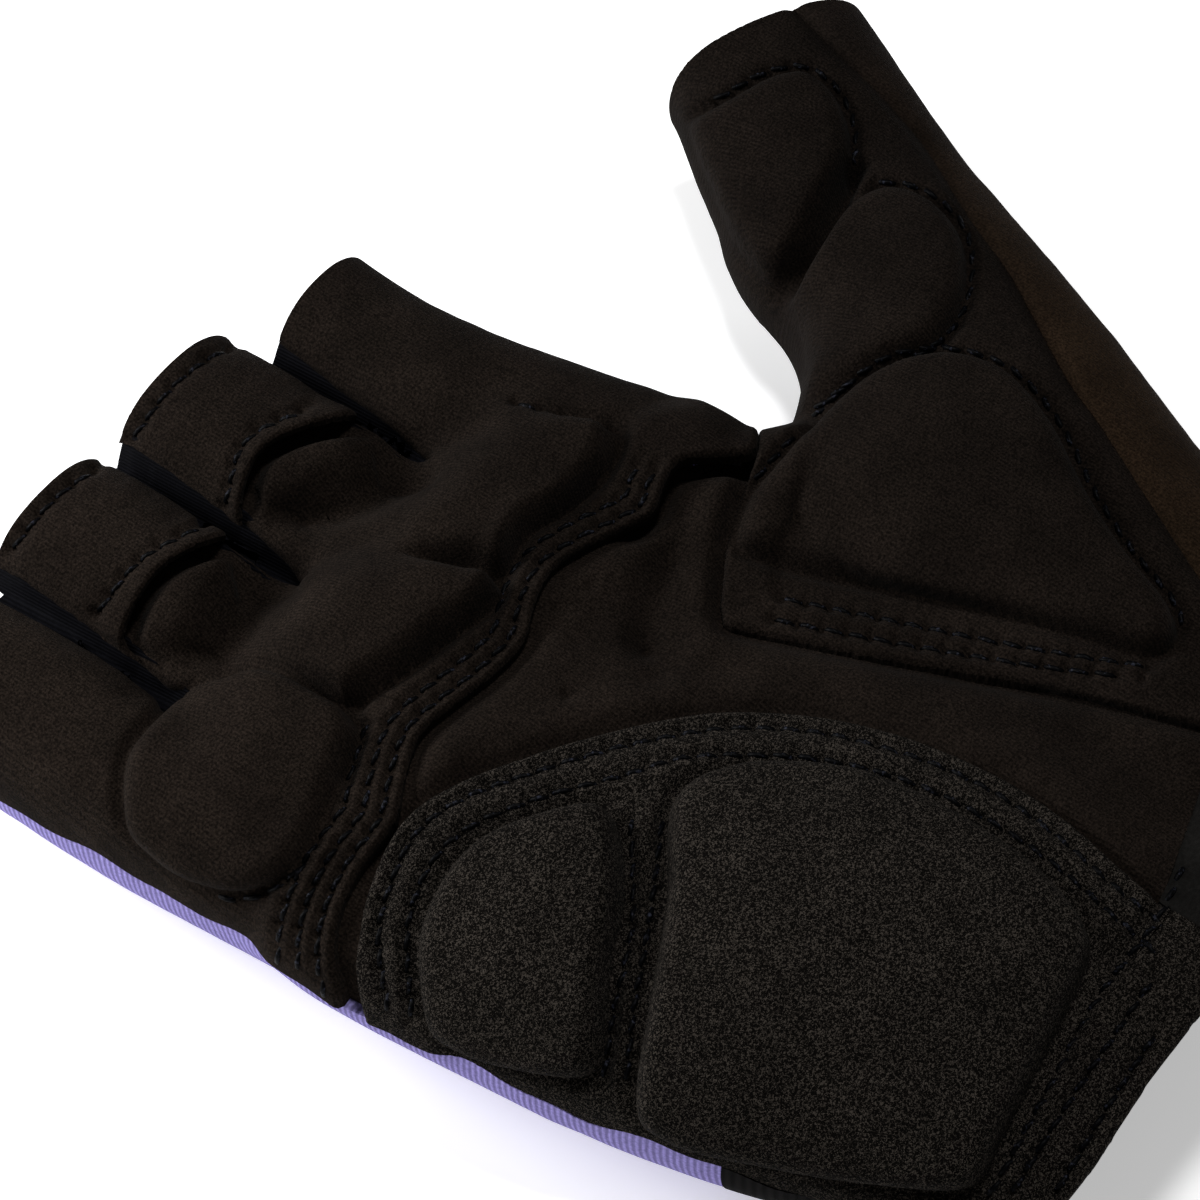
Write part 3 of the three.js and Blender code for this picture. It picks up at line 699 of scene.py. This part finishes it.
# The rows in view coordinates, by the group of thread that they belong to
ROWS = {
    "stitches_finger_panel": [
        between_x(offset_line(WAVE_LINE, 1.8), -64, 21),
        between_x(offset_line(WAVE_LINE, 4.0), -65, 20),
        between_x(offset_line(WAVE_LINE, 6.2), -66, -26),
        smooth_line([(17, 25.5), (19, 20), (22, 13)]),
        arc_of(PADS["knuckle_pad_little"]["outline"], 9, 12, 0.9),
    ],
    "stitches_pull_tabs": [
        smooth_line([(-37, 46), (-28, 46.8), (-19.5, 44)]),
        smooth_line([(-15.8, 44), (-7, 48), (1.5, 45)]),
        smooth_line([(-36, 60), (-27, 60.7), (-18.7, 59)]),
        smooth_line([(-14.8, 59.2), (-6, 60.3), (1, 59.2), (4.5, 56.8)]),
    ],
    "stitches_heel": [
        smooth_line(HEEL_OUTER),
        smooth_line(HEEL_INNER),
        smooth_line([(-22, -21), (-33, -29.5), (-44, -35), (-52, -39.5)]),
        smooth_line([(-20, -24), (-31, -30.5), (-43, -37), (-51, -42)]),
    ],
    "stitches_cuff": [
        smooth_line([(-38, -81.5), (-24, -79.3), (-10, -77), (3, -76.6), (12, -74.6)]),
        smooth_line([(-36, -83.2), (-20, -81.6), (-3, -80.5)]),
        smooth_line([(-33, -87), (-20, -85.5), (-8, -84.5)]),
    ],
    "stitches_thumb": [
        smooth_line([(13, -17), (16, -24), (21.5, -37), (26.5, -48), (31, -57)]),
        smooth_line([(10, -18), (13.5, -26), (18.5, -37), (24, -48), (29, -57)]),
        arc_of(PADS["thenar_pad"]["outline"], 2, 12, 0.7),
        arc_of(PADS["thumb_joint_pad"]["outline"], 0, 9, 0.7),
        arc_of(PADS["thumb_tip_pad"]["outline"], 0, 7, 0.7),
    ],
}
ROW_WIDTH = 0.85
ROW_DEPTH = 0.75
PITCH = 2.9


def row_grooves(surface, group):
    """The grooves that the thread of some rows pulls into the cloth, deeper in the middle of each stitch."""
    seen = surface["seen"]
    total = np.zeros(len(seen))
    for line in ROWS[group]:
        distance, along = nearest(seen, line, 4.0)
        hole = (0.5 + 0.5 * np.cos(2 * np.pi * along / PITCH)) ** 4
        total = np.maximum(total, ROW_DEPTH * (0.7 + 0.9 * hole) * bump(distance, ROW_WIDTH))
        total = np.maximum(total, 0.16 * bump(distance, 2.2))
    return total * facing_up(surface)


def edge_roll(inwards, height, width):
    """How far a raised panel edge drops by its rounded rim, by distance inwards from the edge."""
    t = np.clip(1 - inwards / width, 0, 1)
    return height * (1 - np.sqrt(np.maximum(1 - t**2, 0)))


def facing_up(surface):
    """1 on top of the glove and 0 on its sides, where the outline must stay even."""
    return ease(surface["normal"][:, 2], 0.1, 0.7)


def pads_relief(surface, names):
    """The pillows of some pads, with the seam round each of them."""
    total = np.zeros(len(surface["at"]))
    for name in names:
        inwards = surface[name]
        pad = PADS[name]
        form = pillow(inwards, pad["edge"])
        seam = 0.9 * bump(inwards + 0.3, 0.9) * facing_up(surface)
        if "sides_fade" in pad:
            form = form * facing_up(surface)
        if "soft_from" in pad:
            soft = ease(surface["seen"][:, 1], pad["soft_from"], pad["soft_from"] + 7.0)
            form = form + (ease(inwards, -4.0, 8.0) - form) * soft
            seam = seam * (1 - soft)
        total += pad["rise"] * form - seam
    return total


# Each gap between two fingers and the side wall in it
BETWEEN = {
    "between_little_ring": "fourchette_ring_little",
    "between_ring_middle": "fourchette_middle_ring",
    "between_middle_index": "fourchette_index_middle",
}
FOURCHETTE_LAP = 0.8
FOURCHETTE_SINK = 1.8
FOURCHETTE_CLOTH = 0.6

# Creases in view coordinates: the groove above the finger seam, and the one between the two thumb pads
FINGER_CREASE = [(-37, 9), (-32, 11.5), (-27, 14), (-22, 12.5), (-15, 11.5), (-8, 10.2), (-3, 12), (3, 13),
                 (10, 11), (17, 11.3), (21, 14)]
THUMB_CREASE = [(44, 9), (50.7, 10.1), (55.5, 11.3), (64.4, 12.8), (72.5, 14.6)]


def cloth_wobble(points):
    return 0.28 * wobble(points, 15.0, 3) + 0.10 * wobble(points, 5.0, 5)


def finger_panel_relief(surface):
    seen, inwards = surface["seen"], surface["fingers"]
    relief = cloth_wobble(surface["at"])
    relief += pads_relief(surface, ["knuckle_pad_little", "knuckle_pad_middle", "knuckle_pad_index"])
    relief += 0.9 * (1 - ease(inwards, 6.5, 10.0)) - edge_roll(inwards, 0.9, 0.9)
    relief -= row_grooves(surface, "stitches_finger_panel")
    distance, _ = nearest(seen, smooth_line(FINGER_CREASE))
    relief -= 1.8 * bump(distance, 1.4)
    for key in BETWEEN:
        relief -= edge_roll(-surface[key], 0.7, 0.8)
    for name, tab in TABS.items():
        ratio, _ = finger_ratio(surface["at"], FINGERS[tab["finger"]])
        on_finger = 1 - ease(np.abs(ratio), 0.72, 0.98)
        relief -= TAB_SINK * ease(surface[name], -2.6, 0.4) * on_finger
        distance, _ = nearest(seen, np.array(tab["dent"], float))
        relief -= DENT_DEPTH * bump(distance, DENT_WIDTH) * on_finger
    return relief


# Folds of the centre panel: the line in view coordinates, the depth and the width
CENTRE_FOLDS = [
    ([(12, 3.4), (16, 3.2), (20, 4.2), (23.5, 3.4), (26, 0.2), (28.3, -2.3)], 3.2, 2.4),
    ([(21.2, 1), (13.8, -1.5), (6.2, -3.4), (-1.4, -7.6)], 1.6, 2.2),
    ([(10, -4), (3, -9), (-4, -12)], 0.9, 2.6),
]
# The small pinches that a needle left in the centre panel
CENTRE_PINCHES = [(-13, -5), (-1.5, -8), (0.6, 2)]


def centre_panel_relief(surface):
    seen = surface["seen"]
    relief = cloth_wobble(surface["at"])
    for name in ("fingers", "thumb", "heel"):
        outwards = -surface[name]
        relief -= 1.3 * bump(np.maximum(outwards, 0), 1.5)
        relief += 0.45 * bump(outwards - 4.0, 2.4)
    for fold, depth, width in CENTRE_FOLDS:
        distance, _ = nearest(seen, smooth_line(fold))
        relief -= depth * bump(distance, width)
    for x, y in CENTRE_PINCHES:
        relief -= 0.5 * bump(np.hypot(seen[:, 0] - x, seen[:, 1] - y), 0.7)
    return relief


def heel_panel_relief(surface):
    inwards = surface["heel"]
    relief = cloth_wobble(surface["at"]) * 0.7
    relief += pads_relief(surface, ["heel_pad_small", "heel_pad_large"])
    relief += 0.8 * (1 - ease(inwards, 6.0, 9.0)) - edge_roll(inwards, 0.8, 0.8)
    relief -= row_grooves(surface, "stitches_heel")
    relief -= 0.8 * bump(surface["cuff"], 1.0)
    return relief


def cuff_relief(surface):
    relief = cloth_wobble(surface["at"]) * 0.7 + 0.5
    relief -= edge_roll(surface["cuff"], 0.6, 0.7)
    relief -= edge_roll(surface["tips"], 0.8, 1.2)
    relief -= row_grooves(surface, "stitches_cuff")
    return relief


def thumb_panel_relief(surface):
    inwards = surface["thumb"]
    relief = cloth_wobble(surface["at"])
    relief += pads_relief(surface, ["thenar_pad", "thumb_joint_pad", "thumb_tip_pad"])
    relief += 0.6 * (1 - ease(inwards, 4.5, 7.0)) - edge_roll(inwards, 0.9, 0.8)
    relief -= row_grooves(surface, "stitches_thumb")
    distance, _ = nearest(surface["seen"], smooth_line(THUMB_CREASE))
    relief -= 4.5 * bump(distance, 1.2) * facing_up(surface)
    relief -= 0.7 * bump(surface["thumb_side"], 1.0)
    return relief


def plain_relief(surface):
    return cloth_wobble(surface["at"]) * 0.8


def back_relief(surface):
    """Small swells on the sides of the back, and none where it is pressed flat."""
    return cloth_wobble(surface["at"]) * 0.8 * ease(surface["at"][:, 2], 0.5, 4.0)


def fourchette_relief(surface):
    return plain_relief(surface) * 0.3 - 0.4


def sunk(surface, inwards, depth):
    """The surface lowered towards its middle, by distance inwards from its border."""
    lower = depth * ease(surface[inwards], 0.0, 3.0)
    moved = surface["at"] - np.stack([0 * lower, 0 * lower, lower], 1)
    return {**surface, "at": moved}


def tab_relief(name):
    def relief(surface):
        lip = surface[name]
        swell = 0.9 + 0.7 * bump(lip, 3.0) - edge_roll(lip, 0.4, 0.5)
        swell = swell * ease(surface["across"], 0.2, 2.8) - 0.3
        return cloth_wobble(surface["at"]) + swell - row_grooves(surface, "stitches_pull_tabs")
    return relief


# Making pieces

def boundary(faces):
    """The directed edges that only one triangle uses."""
    edges = np.concatenate([faces[:, [0, 1]], faces[:, [1, 2]], faces[:, [2, 0]]])
    key = np.sort(edges, axis=1)
    _, index, uses = np.unique(key, axis=0, return_index=True, return_counts=True)
    return edges[index[uses == 1]]


def cloth_mesh(name, surface, thickness):
    """A closed mesh: the displaced outer side, an inner side one thickness in, and the rim between."""
    lowest = FAR if "pull_tab" in name else 0
    faces, count, relief = surface["faces"], len(surface["at"]), surface["relief"]
    outer = surface["at"] + surface["normal"] * relief[:, None]
    inner = surface["at"] + surface["normal"] * (np.minimum(relief, lowest) - thickness)[:, None]
    edges = boundary(faces)
    a, b = edges[:, 0], edges[:, 1]
    rim = np.concatenate([np.stack([b, a, a + count], 1), np.stack([b, a + count, b + count], 1)])
    triangles = np.concatenate([faces, faces[:, ::-1] + count, rim])
    points = np.vstack([outer, inner])
    points[:, 2] = np.maximum(points[:, 2], 0)
    p, q, r = (points[rim[:, i]] for i in range(3))
    flat = unit(np.cross(q - p, r - p))
    corners = np.concatenate([
        surface["shading"][faces],
        -surface["normal"][faces[:, ::-1]],
        np.repeat(flat[:, None, :], 3, axis=1),
    ])
    return mesh_of(name, points, triangles, corners)


def mesh_of(name, points, triangles, corners=None):
    mesh = bpy.data.meshes.new(name)
    count = len(triangles)
    mesh.vertices.add(len(points))
    mesh.vertices.foreach_set("co", ((points - DRAWING_CENTRE) * MM).astype(np.float32).ravel())
    mesh.loops.add(3 * count)
    mesh.loops.foreach_set("vertex_index", triangles.astype(np.int32).ravel())
    mesh.polygons.add(count)
    mesh.polygons.foreach_set("loop_start", np.arange(0, 3 * count, 3, dtype=np.int32))
    mesh.polygons.foreach_set("use_smooth", np.ones(count, bool))
    mesh.update(calc_edges=True)
    if corners is not None:
        mesh.normals_split_custom_set(corners.reshape(-1, 3).tolist())
    return mesh


def place(name, mesh, material, node=None):
    """A piece of the glove, with the node of the frame that it stands for."""
    obj = linked(name, mesh)
    mesh.materials.append(MATERIALS[material])
    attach(obj, "root")
    if node:
        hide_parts(node)
    return obj


SHOWN = []


def layer(surface, relief_of, pads=()):
    """Displaces a surface, cuts the pads out of it, and returns the named parts as meshes."""
    for name in pads:
        surface = split(surface, name)
    relief = relief_of(surface)
    outer = surface["at"] + surface["normal"] * relief[:, None]
    normals = vertex_normals(outer, surface["faces"])
    SHOWN.append((outer, surface["faces"]))
    surface = {**surface, "relief": relief, "shading": normals}
    parts = {}
    rest = np.ones(len(surface["faces"]), bool)
    for name in pads:
        on = above(surface, name) & rest
        parts[name] = keep(surface, on)
        rest &= ~on
    parts["panel"] = keep(surface, rest)
    return parts


# Materials

def new_material(name):
    """A material with its node tree, its shader and the coordinates of the piece."""
    material = bpy.data.materials.new(name)
    material.use_nodes = True
    tree = material.node_tree
    tree.nodes.clear()
    output = tree.nodes.new("ShaderNodeOutputMaterial")
    shader = tree.nodes.new("ShaderNodeBsdfPrincipled")
    tree.links.new(shader.outputs["BSDF"], output.inputs["Surface"])
    where = tree.nodes.new("ShaderNodeTexCoord").outputs["Object"]
    return material, tree, shader, where


def feed(tree, node, inputs):
    """Sets the inputs of a node, and links those whose value is the output of another node."""
    for name, value in inputs.items():
        if isinstance(value, bpy.types.NodeSocket):
            tree.links.new(value, node.inputs[name])
        else:
            node.inputs[name].default_value = value


def new_node(tree, kind, inputs):
    node = tree.nodes.new(f"ShaderNode{kind}")
    feed(tree, node, inputs)
    return node


def noise(tree, where, size_mm, detail=2.0, roughness=0.5, distortion=0.0):
    inputs = {
        "Vector": where,
        "Scale": 1 / (size_mm * MM),
        "Detail": detail,
        "Roughness": roughness,
        "Distortion": distortion,
    }
    return new_node(tree, "TexNoise", inputs).outputs["Fac"]


def lines(tree, where, pitch_mm, distortion):
    """Bands across the X axis."""
    inputs = {
        "Vector": where,
        "Scale": math.pi / 10 / (pitch_mm * MM),
        "Distortion": distortion,
        "Detail": 1.0,
        "Detail Scale": 3.0,
    }
    return new_node(tree, "TexWave", inputs).outputs["Fac"]


def ramp(tree, value, low, high, low_colour, high_colour):
    node = tree.nodes.new("ShaderNodeValToRGB")
    first, last = node.color_ramp.elements
    first.position, last.position = low, high
    first.color = (*low_colour, 1)
    last.color = (*high_colour, 1)
    tree.links.new(value, node.inputs["Fac"])
    return node.outputs["Color"]


def times(tree, factor, a, b):
    """Colour a multiplied by colour b, as far as the factor says."""
    node = tree.nodes.new("ShaderNodeMix")
    node.data_type = "RGBA"
    node.blend_type = "MULTIPLY"
    node.inputs["Factor"].default_value = factor
    tree.links.new(a, node.inputs["A"])
    tree.links.new(b, node.inputs["B"])
    return node.outputs["Result"]


def bumped(tree, shader, value, strength, distance_mm, below=None):
    node = new_node(tree, "Bump", {"Strength": strength, "Distance": distance_mm * MM, "Height": value})
    if below is not None:
        feed(tree, node, {"Normal": below.outputs["Normal"]})
    feed(tree, shader, {"Normal": node.outputs["Normal"]})
    return node


def scaled(colour, share):
    return tuple(c * share for c in colour)


def painted_light_along(tree, where, tone, axis, low, high):
    """Painted light: the tone times a share that runs from one place along an axis to another, in
    (millimetres, share).
    """
    parts = new_node(tree, "SeparateXYZ", {"Vector": where})
    inputs = {"Value": parts.outputs[axis], "From Min": low[0] * MM, "From Max": high[0] * MM}
    reach = new_node(tree, "MapRange", inputs)
    share = ramp(tree, reach.outputs["Result"], 0.0, 1.0, low[1], high[1])
    return times(tree, 1.0, tone, share)


def nap_material(name, colour, contrast, grain_mm, line_strength, painted_light_ramp=None):
    """Brushed microsuede: a mottled tone, fine flecks, faint knit lines, and painted light where a ramp
    makes the tone lighter at one end of an axis and darker at the other.
    """
    material, tree, shader, where = new_material(name)
    flecks = noise(tree, where, grain_mm, 3.0, 0.6)
    patches = noise(tree, where, 9.0, 3.0, 0.55)
    knit = lines(tree, where, 0.46, 2.0)
    light = ramp(tree, flecks, 0.38, 0.66, scaled(colour, 1 - contrast), scaled(colour, 1 + contrast * 1.6))
    mottle = ramp(tree, patches, 0.3, 0.7, (0.74, 0.74, 0.74), (1.28, 1.28, 1.28))
    banding = ramp(tree, knit, 0.2, 0.8, (0.82, 0.82, 0.82), (1.14, 1.14, 1.14))
    tone = times(tree, 1.0, light, mottle)
    tone = times(tree, line_strength, tone, banding)
    if painted_light_ramp:
        tone = painted_light_along(tree, where, tone, *painted_light_ramp)
    finish_nap(tree, shader, tone)
    base = bumped(tree, shader, knit, 0.35 * line_strength, 0.12)
    bumped(tree, shader, flecks, 0.6, 0.25, base)
    return material


def finish_nap(tree, shader, tone):
    feed(tree, shader, {
        "Base Color": tone,
        "Roughness": 0.95,
        "Specular IOR Level": 0.02,
        "Sheen Weight": 0.008,
        "Sheen Roughness": 0.5,
    })


def flecked_material(name, dark, pale, grain_mm):
    """Microfibre: short pale fibres that cross a dark ground."""
    material, tree, shader, where = new_material(name)
    fibres = noise(tree, where, grain_mm, 1.5, 0.55, 1.2)
    patches = noise(tree, where, 8.0, 3.0, 0.55)
    light = ramp(tree, fibres, 0.52, 0.60, dark, pale)
    mottle = ramp(tree, patches, 0.3, 0.7, (0.85, 0.85, 0.85), (1.15, 1.15, 1.15))
    finish_nap(tree, shader, times(tree, 1.0, light, mottle))
    bumped(tree, shader, fibres, 0.7, 0.3)
    return material


def turned(tree, where, degrees):
    """Coordinates turned about the three axes."""
    rotation = [math.radians(angle) for angle in degrees]
    return new_node(tree, "Mapping", {"Vector": where, "Rotation": rotation}).outputs["Vector"]


def rib_material(name, colour, pitch_mm, degrees, contrast):
    """Stretch knit with fine ribs, turned from the X axis by these angles."""
    material, tree, shader, where = new_material(name)
    ribs = lines(tree, turned(tree, where, degrees), pitch_mm, 0.4)
    fibre = noise(tree, where, 0.4)
    shade = ramp(tree, ribs, 0.15, 0.85, scaled(colour, 1 - contrast), scaled(colour, 1 + contrast))
    fuzz = ramp(tree, fibre, 0.3, 0.7, (0.8, 0.8, 0.8), (1.2, 1.2, 1.2))
    tone = times(tree, 1.0, shade, fuzz)
    feed(tree, shader, {"Base Color": tone, "Roughness": 0.8, "Specular IOR Level": 0.03})
    bumped(tree, shader, ribs, 0.4, 0.15)
    return material


def thread_material(name, colour):
    material, tree, shader, where = new_material(name)
    fibre = noise(tree, where, 0.5)
    # The pale flecks, up to sixteen times the thread's colour, are painted glints of light on the thread.
    shade = ramp(tree, fibre, 0.58, 0.72, scaled(colour, 0.6), scaled(colour, 16.0))
    feed(tree, shader, {"Base Color": shade, "Roughness": 0.5, "Specular IOR Level": 0.04})
    bumped(tree, shader, fibre, 0.5, 0.1)
    return material


# Materials, by the name of the slot that a piece gets with each of them
MATERIALS = {
    # Painted light falloff on the suede: lighter towards the little finger's side and darker towards the
    # thumb's side.
    "suede": nap_material("suede", (0.0066, 0.0048, 0.0038), 0.5, 0.30, 0.9,
                          ("X", (-75, (1.4, 1.38, 1.34)), (60, (0.8, 0.8, 0.8)))),
    # Painted sheen: a lighter, warmer copy of the suede stands for glancing light on the thumb's side panel,
    # and its ramp darkens it towards the thumb's tip.
    "suede_warm": nap_material("suede_warm", (0.0135, 0.0082, 0.0047), 0.4, 0.32, 0.6,
                               ("Y", (-10, (1, 1, 1)), (42, (0.55, 0.66, 0.92)))),
    "microfibre": flecked_material("microfibre", (0.0023, 0.0019, 0.0016), (0.039, 0.033, 0.0275), 0.25),
    "rib": rib_material("rib", (0.0024, 0.0024, 0.0034), 0.42, (40, 35, 20), 0.35),
    "stretch_lavender": rib_material("stretch_lavender", (0.23, 0.20, 0.45), 0.8, (0, 0, 90), 0.25),
    "wristband_black": rib_material("wristband_black", (0.004, 0.0036, 0.0036), 1.2, (0, 0, 90), 0.5),
    "wrist_tab_grey": nap_material("wrist_tab_grey", (0.0085, 0.0080, 0.0074), 0.15, 0.6, 0.0),
    "thread": thread_material("thread", (0.0012, 0.0013, 0.0019)),
}


# Panels


def panel(name, part, material, thickness):
    made = f"{name}_padded" if name in PADS else f"{name}_cloth"
    mesh = cloth_mesh(made, part, thickness)
    return place(made, mesh, material, name)


def make_layer(surface, relief_of, name, material, pads=(), rolled=(), thickness=CLOTH):
    """One sheet of cloth and the pads in it, with finer triangles along the edges that roll over."""
    for edge in rolled:
        for inwards in ROLL_BANDS:
            surface = split(surface, edge, -inwards)
    parts = layer(surface, relief_of, pads)
    cloth = panel(name, parts["panel"], material, thickness)
    for pad in pads:
        obj = panel(pad, parts[pad], material, thickness)


def make_panels(skin):
    open_skin = skin
    for key, name in BETWEEN.items():
        strip = sunk(cut_to(skin, (key, 1, FOURCHETTE_LAP)), key, FOURCHETTE_SINK)
        make_layer(strip, fourchette_relief, name, "rib", thickness=FOURCHETTE_CLOTH)
        open_skin = cut_to(open_skin, (key, -1, 0))
    palm = cut_to(open_skin, ("side", 1, 0))
    back = cut_to(open_skin, ("side", -1, 0))

    fingers = cut_to(palm, ("fingers", 1, 0))
    make_layer(fingers, finger_panel_relief, "finger_palm_panel", "suede",
               ["knuckle_pad_little", "knuckle_pad_middle", "knuckle_pad_index"], ["fingers"])
    for name in TABS:
        make_tab(name, fingers)

    centre = cut_to(palm, ("fingers", -1, -LAP), ("thumb", -1, -LAP), ("heel", -1, -LAP), ("cuff", -1, 0))
    make_layer(centre, centre_panel_relief, "centre_palm_panel", "suede")

    below = cut_to(palm, ("fingers", -1, 0))
    heel = cut_to(below, ("heel", 1, 0))
    make_layer(cut_to(heel, ("cuff", -1, -LAP)), heel_panel_relief, "heel_panel", "microfibre",
               ["heel_pad_small", "heel_pad_large"], ["heel"])
    make_layer(cut_to(heel, ("cuff", 1, 0)), cuff_relief, "cuff_hem", "microfibre", rolled=["cuff", "tips"])

    thumb = cut_to(below, ("thumb", 1, 0))
    make_layer(cut_to(thumb, ("thumb_side", -1, 0)), thumb_panel_relief, "thumb_panel", "suede",
               ["thenar_pad", "thumb_joint_pad", "thumb_tip_pad"], ["thumb"])
    # The thumb's side panel gets the suede with painted glancing sheen.
    make_layer(cut_to(thumb, ("thumb_side", 1, 0)), thumb_panel_relief, "thumb_side_panel", "suede_warm")
    tab = cut_to(palm, ("cuff", 1, 0), ("heel", -1, 0), ("thumb", -1, 0))
    make_layer(tab, plain_relief, "wrist_tab", "wrist_tab_grey")

    wrist = cut_to(back, ("wrist_band", 1, 0))
    hand = cut_to(back, ("wrist_band", -1, 0))
    make_layer(cut_to(hand, ("thumb_back", -1, 0)), back_relief, "back_panel", "stretch_lavender")
    make_layer(cut_to(hand, ("thumb_back", 1, 0)), back_relief, "thumb_back_panel", "rib")
    make_layer(wrist, back_relief, "wrist_band", "wristband_black")


def make_tab(name, fingers):
    finger = TABS[name]["finger"]
    ratio, half = finger_ratio(fingers["at"], FINGERS[finger])
    surface = {**fingers, "across": (1.08 - np.abs(ratio)) * half}
    surface = cut_to(surface, (name, 1, 0), ("across", 1, 0))
    make_layer(surface, tab_relief(name), name, "suede", rolled=[name], thickness=TAB_CLOTH)


# Stitches

THREAD_RADIUS = 0.34
STITCH = [(0.0, -0.6), (0.16, -0.1), (0.5, 0.08), (0.84, -0.1), (1.0, -0.6)]
SLANT = 0.22
SIDES = 6


def tube(path, normal):
    """A closed thread through the points of a path."""
    path = np.array(path)
    along = unit(np.gradient(path, axis=0))
    side = unit(np.cross(along, normal))
    up = np.cross(side, along)
    angle = 2 * np.pi * np.arange(SIDES) / SIDES
    spokes = np.cos(angle)[None, :, None] * side[:, None] + np.sin(angle)[None, :, None] * up[:, None]
    points = (path[:, None] + THREAD_RADIUS * spokes).reshape(-1, 3)
    triangles = []
    for r in range(len(path) - 1):
        for i in range(SIDES):
            low, nxt = r * SIDES + i, r * SIDES + (i + 1) % SIDES
            triangles += [(low, nxt, nxt + SIDES), (low, nxt + SIDES, low + SIDES)]
    top = (len(path) - 1) * SIDES
    for i in range(1, SIDES - 1):
        triangles += [(0, i + 1, i), (top, top + i, top + i + 1)]
    return points, triangles


def stitch_row(line, tree):
    """The stitches along one row, laid on what the camera sees there."""
    length = np.linalg.norm(np.diff(line, axis=0), axis=1)
    run = np.concatenate([[0], np.cumsum(length)])
    along = unit(np.gradient(line, axis=0))
    side = np.stack([-along[:, 1], along[:, 0]], 1)
    made = []
    for k in range(int(run[-1] / PITCH)):
        start = k * PITCH + 0.25
        ends = start, start + PITCH - 0.6
        hits = []
        for share, lift in STITCH:
            at = ends[0] + (ends[1] - ends[0]) * share
            aside = SLANT * (1 - 2 * share)
            seen = np.array([
                np.interp(at, run, line[:, 0]) + aside * np.interp(at, run, side[:, 0]),
                np.interp(at, run, line[:, 1]) + aside * np.interp(at, run, side[:, 1]),
                PALM_LEVEL,
            ])
            towards = Vector(seen - EYE).normalized()
            place_hit, normal, _, _ = tree.ray_cast(Vector(EYE), towards)
            if place_hit is None:
                break
            hits.append((np.array(place_hit), np.array(normal), lift))
        if len(hits) < len(STITCH):
            continue
        normal = hits[2][1]
        path = [place_hit + normal * lift for place_hit, _, lift in hits]
        if np.linalg.norm(np.diff(path, axis=0), axis=1).max() < 2.2:
            made.append(tube(path, normal))
    return made


def make_stitches():
    points, faces = [], []
    for part_points, part_faces in SHOWN:
        faces.append(part_faces + sum(len(p) for p in points))
        points.append(part_points)
    tree = BVHTree.FromPolygons(np.vstack(points).tolist(), np.vstack(faces).tolist())
    for name, rows in ROWS.items():
        made = [stitch for line in rows for stitch in stitch_row(line, tree)]
        starts = np.cumsum([0] + [len(stitch_points) for stitch_points, _ in made])
        triangles = [np.array(stitch) + start for (_, stitch), start in zip(made, starts)]
        mesh = mesh_of(name, np.vstack([stitch_points for stitch_points, _ in made]), np.vstack(triangles))
        place(name, mesh, "thread")


# Floor, light and camera

AMBIENT = 0.15
FLOOR_GLOW = 0.42
# Half the width of the floor and its level, in metres
FLOOR_HALF = 3.0
FLOOR_Z = -0.0002
# Name, direction, distance and size in metres, and energy in watts
LAMPS = [
    ("overhead", (0.12, 0.06, 1.0), 0.75, 0.12, 3.0),
    ("side", (-0.45, 0.85, 0.42), 0.40, 0.16, 1.7),
]


def floor_material():
    material, tree, shader, _ = new_material("floor")
    feed(tree, shader, {
        "Base Color": (0.92, 0.92, 0.92, 1),
        "Roughness": 1.0,
        "Specular IOR Level": 0.0,
        "Emission Color": (1, 1, 1, 1),
        "Emission Strength": FLOOR_GLOW,
    })
    return material


def make_stage():
    mesh = bpy.data.meshes.new("floor")
    corners = [(-1, -1), (1, -1), (1, 1), (-1, 1)]
    mesh.from_pydata([(FLOOR_HALF * x, FLOOR_HALF * y, FLOOR_Z) for x, y in corners], [], [(0, 1, 2, 3)])
    floor = linked("floor", mesh)
    mesh.materials.append(floor_material())

    world = bpy.data.worlds.new("studio")
    bpy.context.scene.world = world
    world.use_nodes = True
    world.node_tree.nodes["Background"].inputs["Color"].default_value = (1, 1, 1, 1)
    world.node_tree.nodes["Background"].inputs["Strength"].default_value = AMBIENT
    for name, direction, distance, size, energy in LAMPS:
        lamp = bpy.data.lights.new(name, "AREA")
        lamp.shape = "SQUARE"
        lamp.size = size
        lamp.energy = energy
        holder = linked(name, lamp)
        towards = Vector(direction).normalized()
        holder.location = towards * distance
        holder.rotation_euler = towards.to_track_quat("Z", "Y").to_euler()

    eye = (EYE - DRAWING_CENTRE) * MM
    camera = bpy.data.cameras.new("camera")
    camera.lens = LENS_MM
    camera.sensor_width = SENSOR_MM
    camera.clip_start = 0.01
    shown = linked("camera", camera)
    shown.location = Vector(eye)
    shown.rotation_euler = Vector(TO_CAMERA).to_track_quat("Z", "Y").to_euler()
    bpy.context.scene.camera = shown
    bpy.context.scene.view_settings.view_transform = "Standard"


make_panels(prepared_skin())
make_stitches()
make_stage()
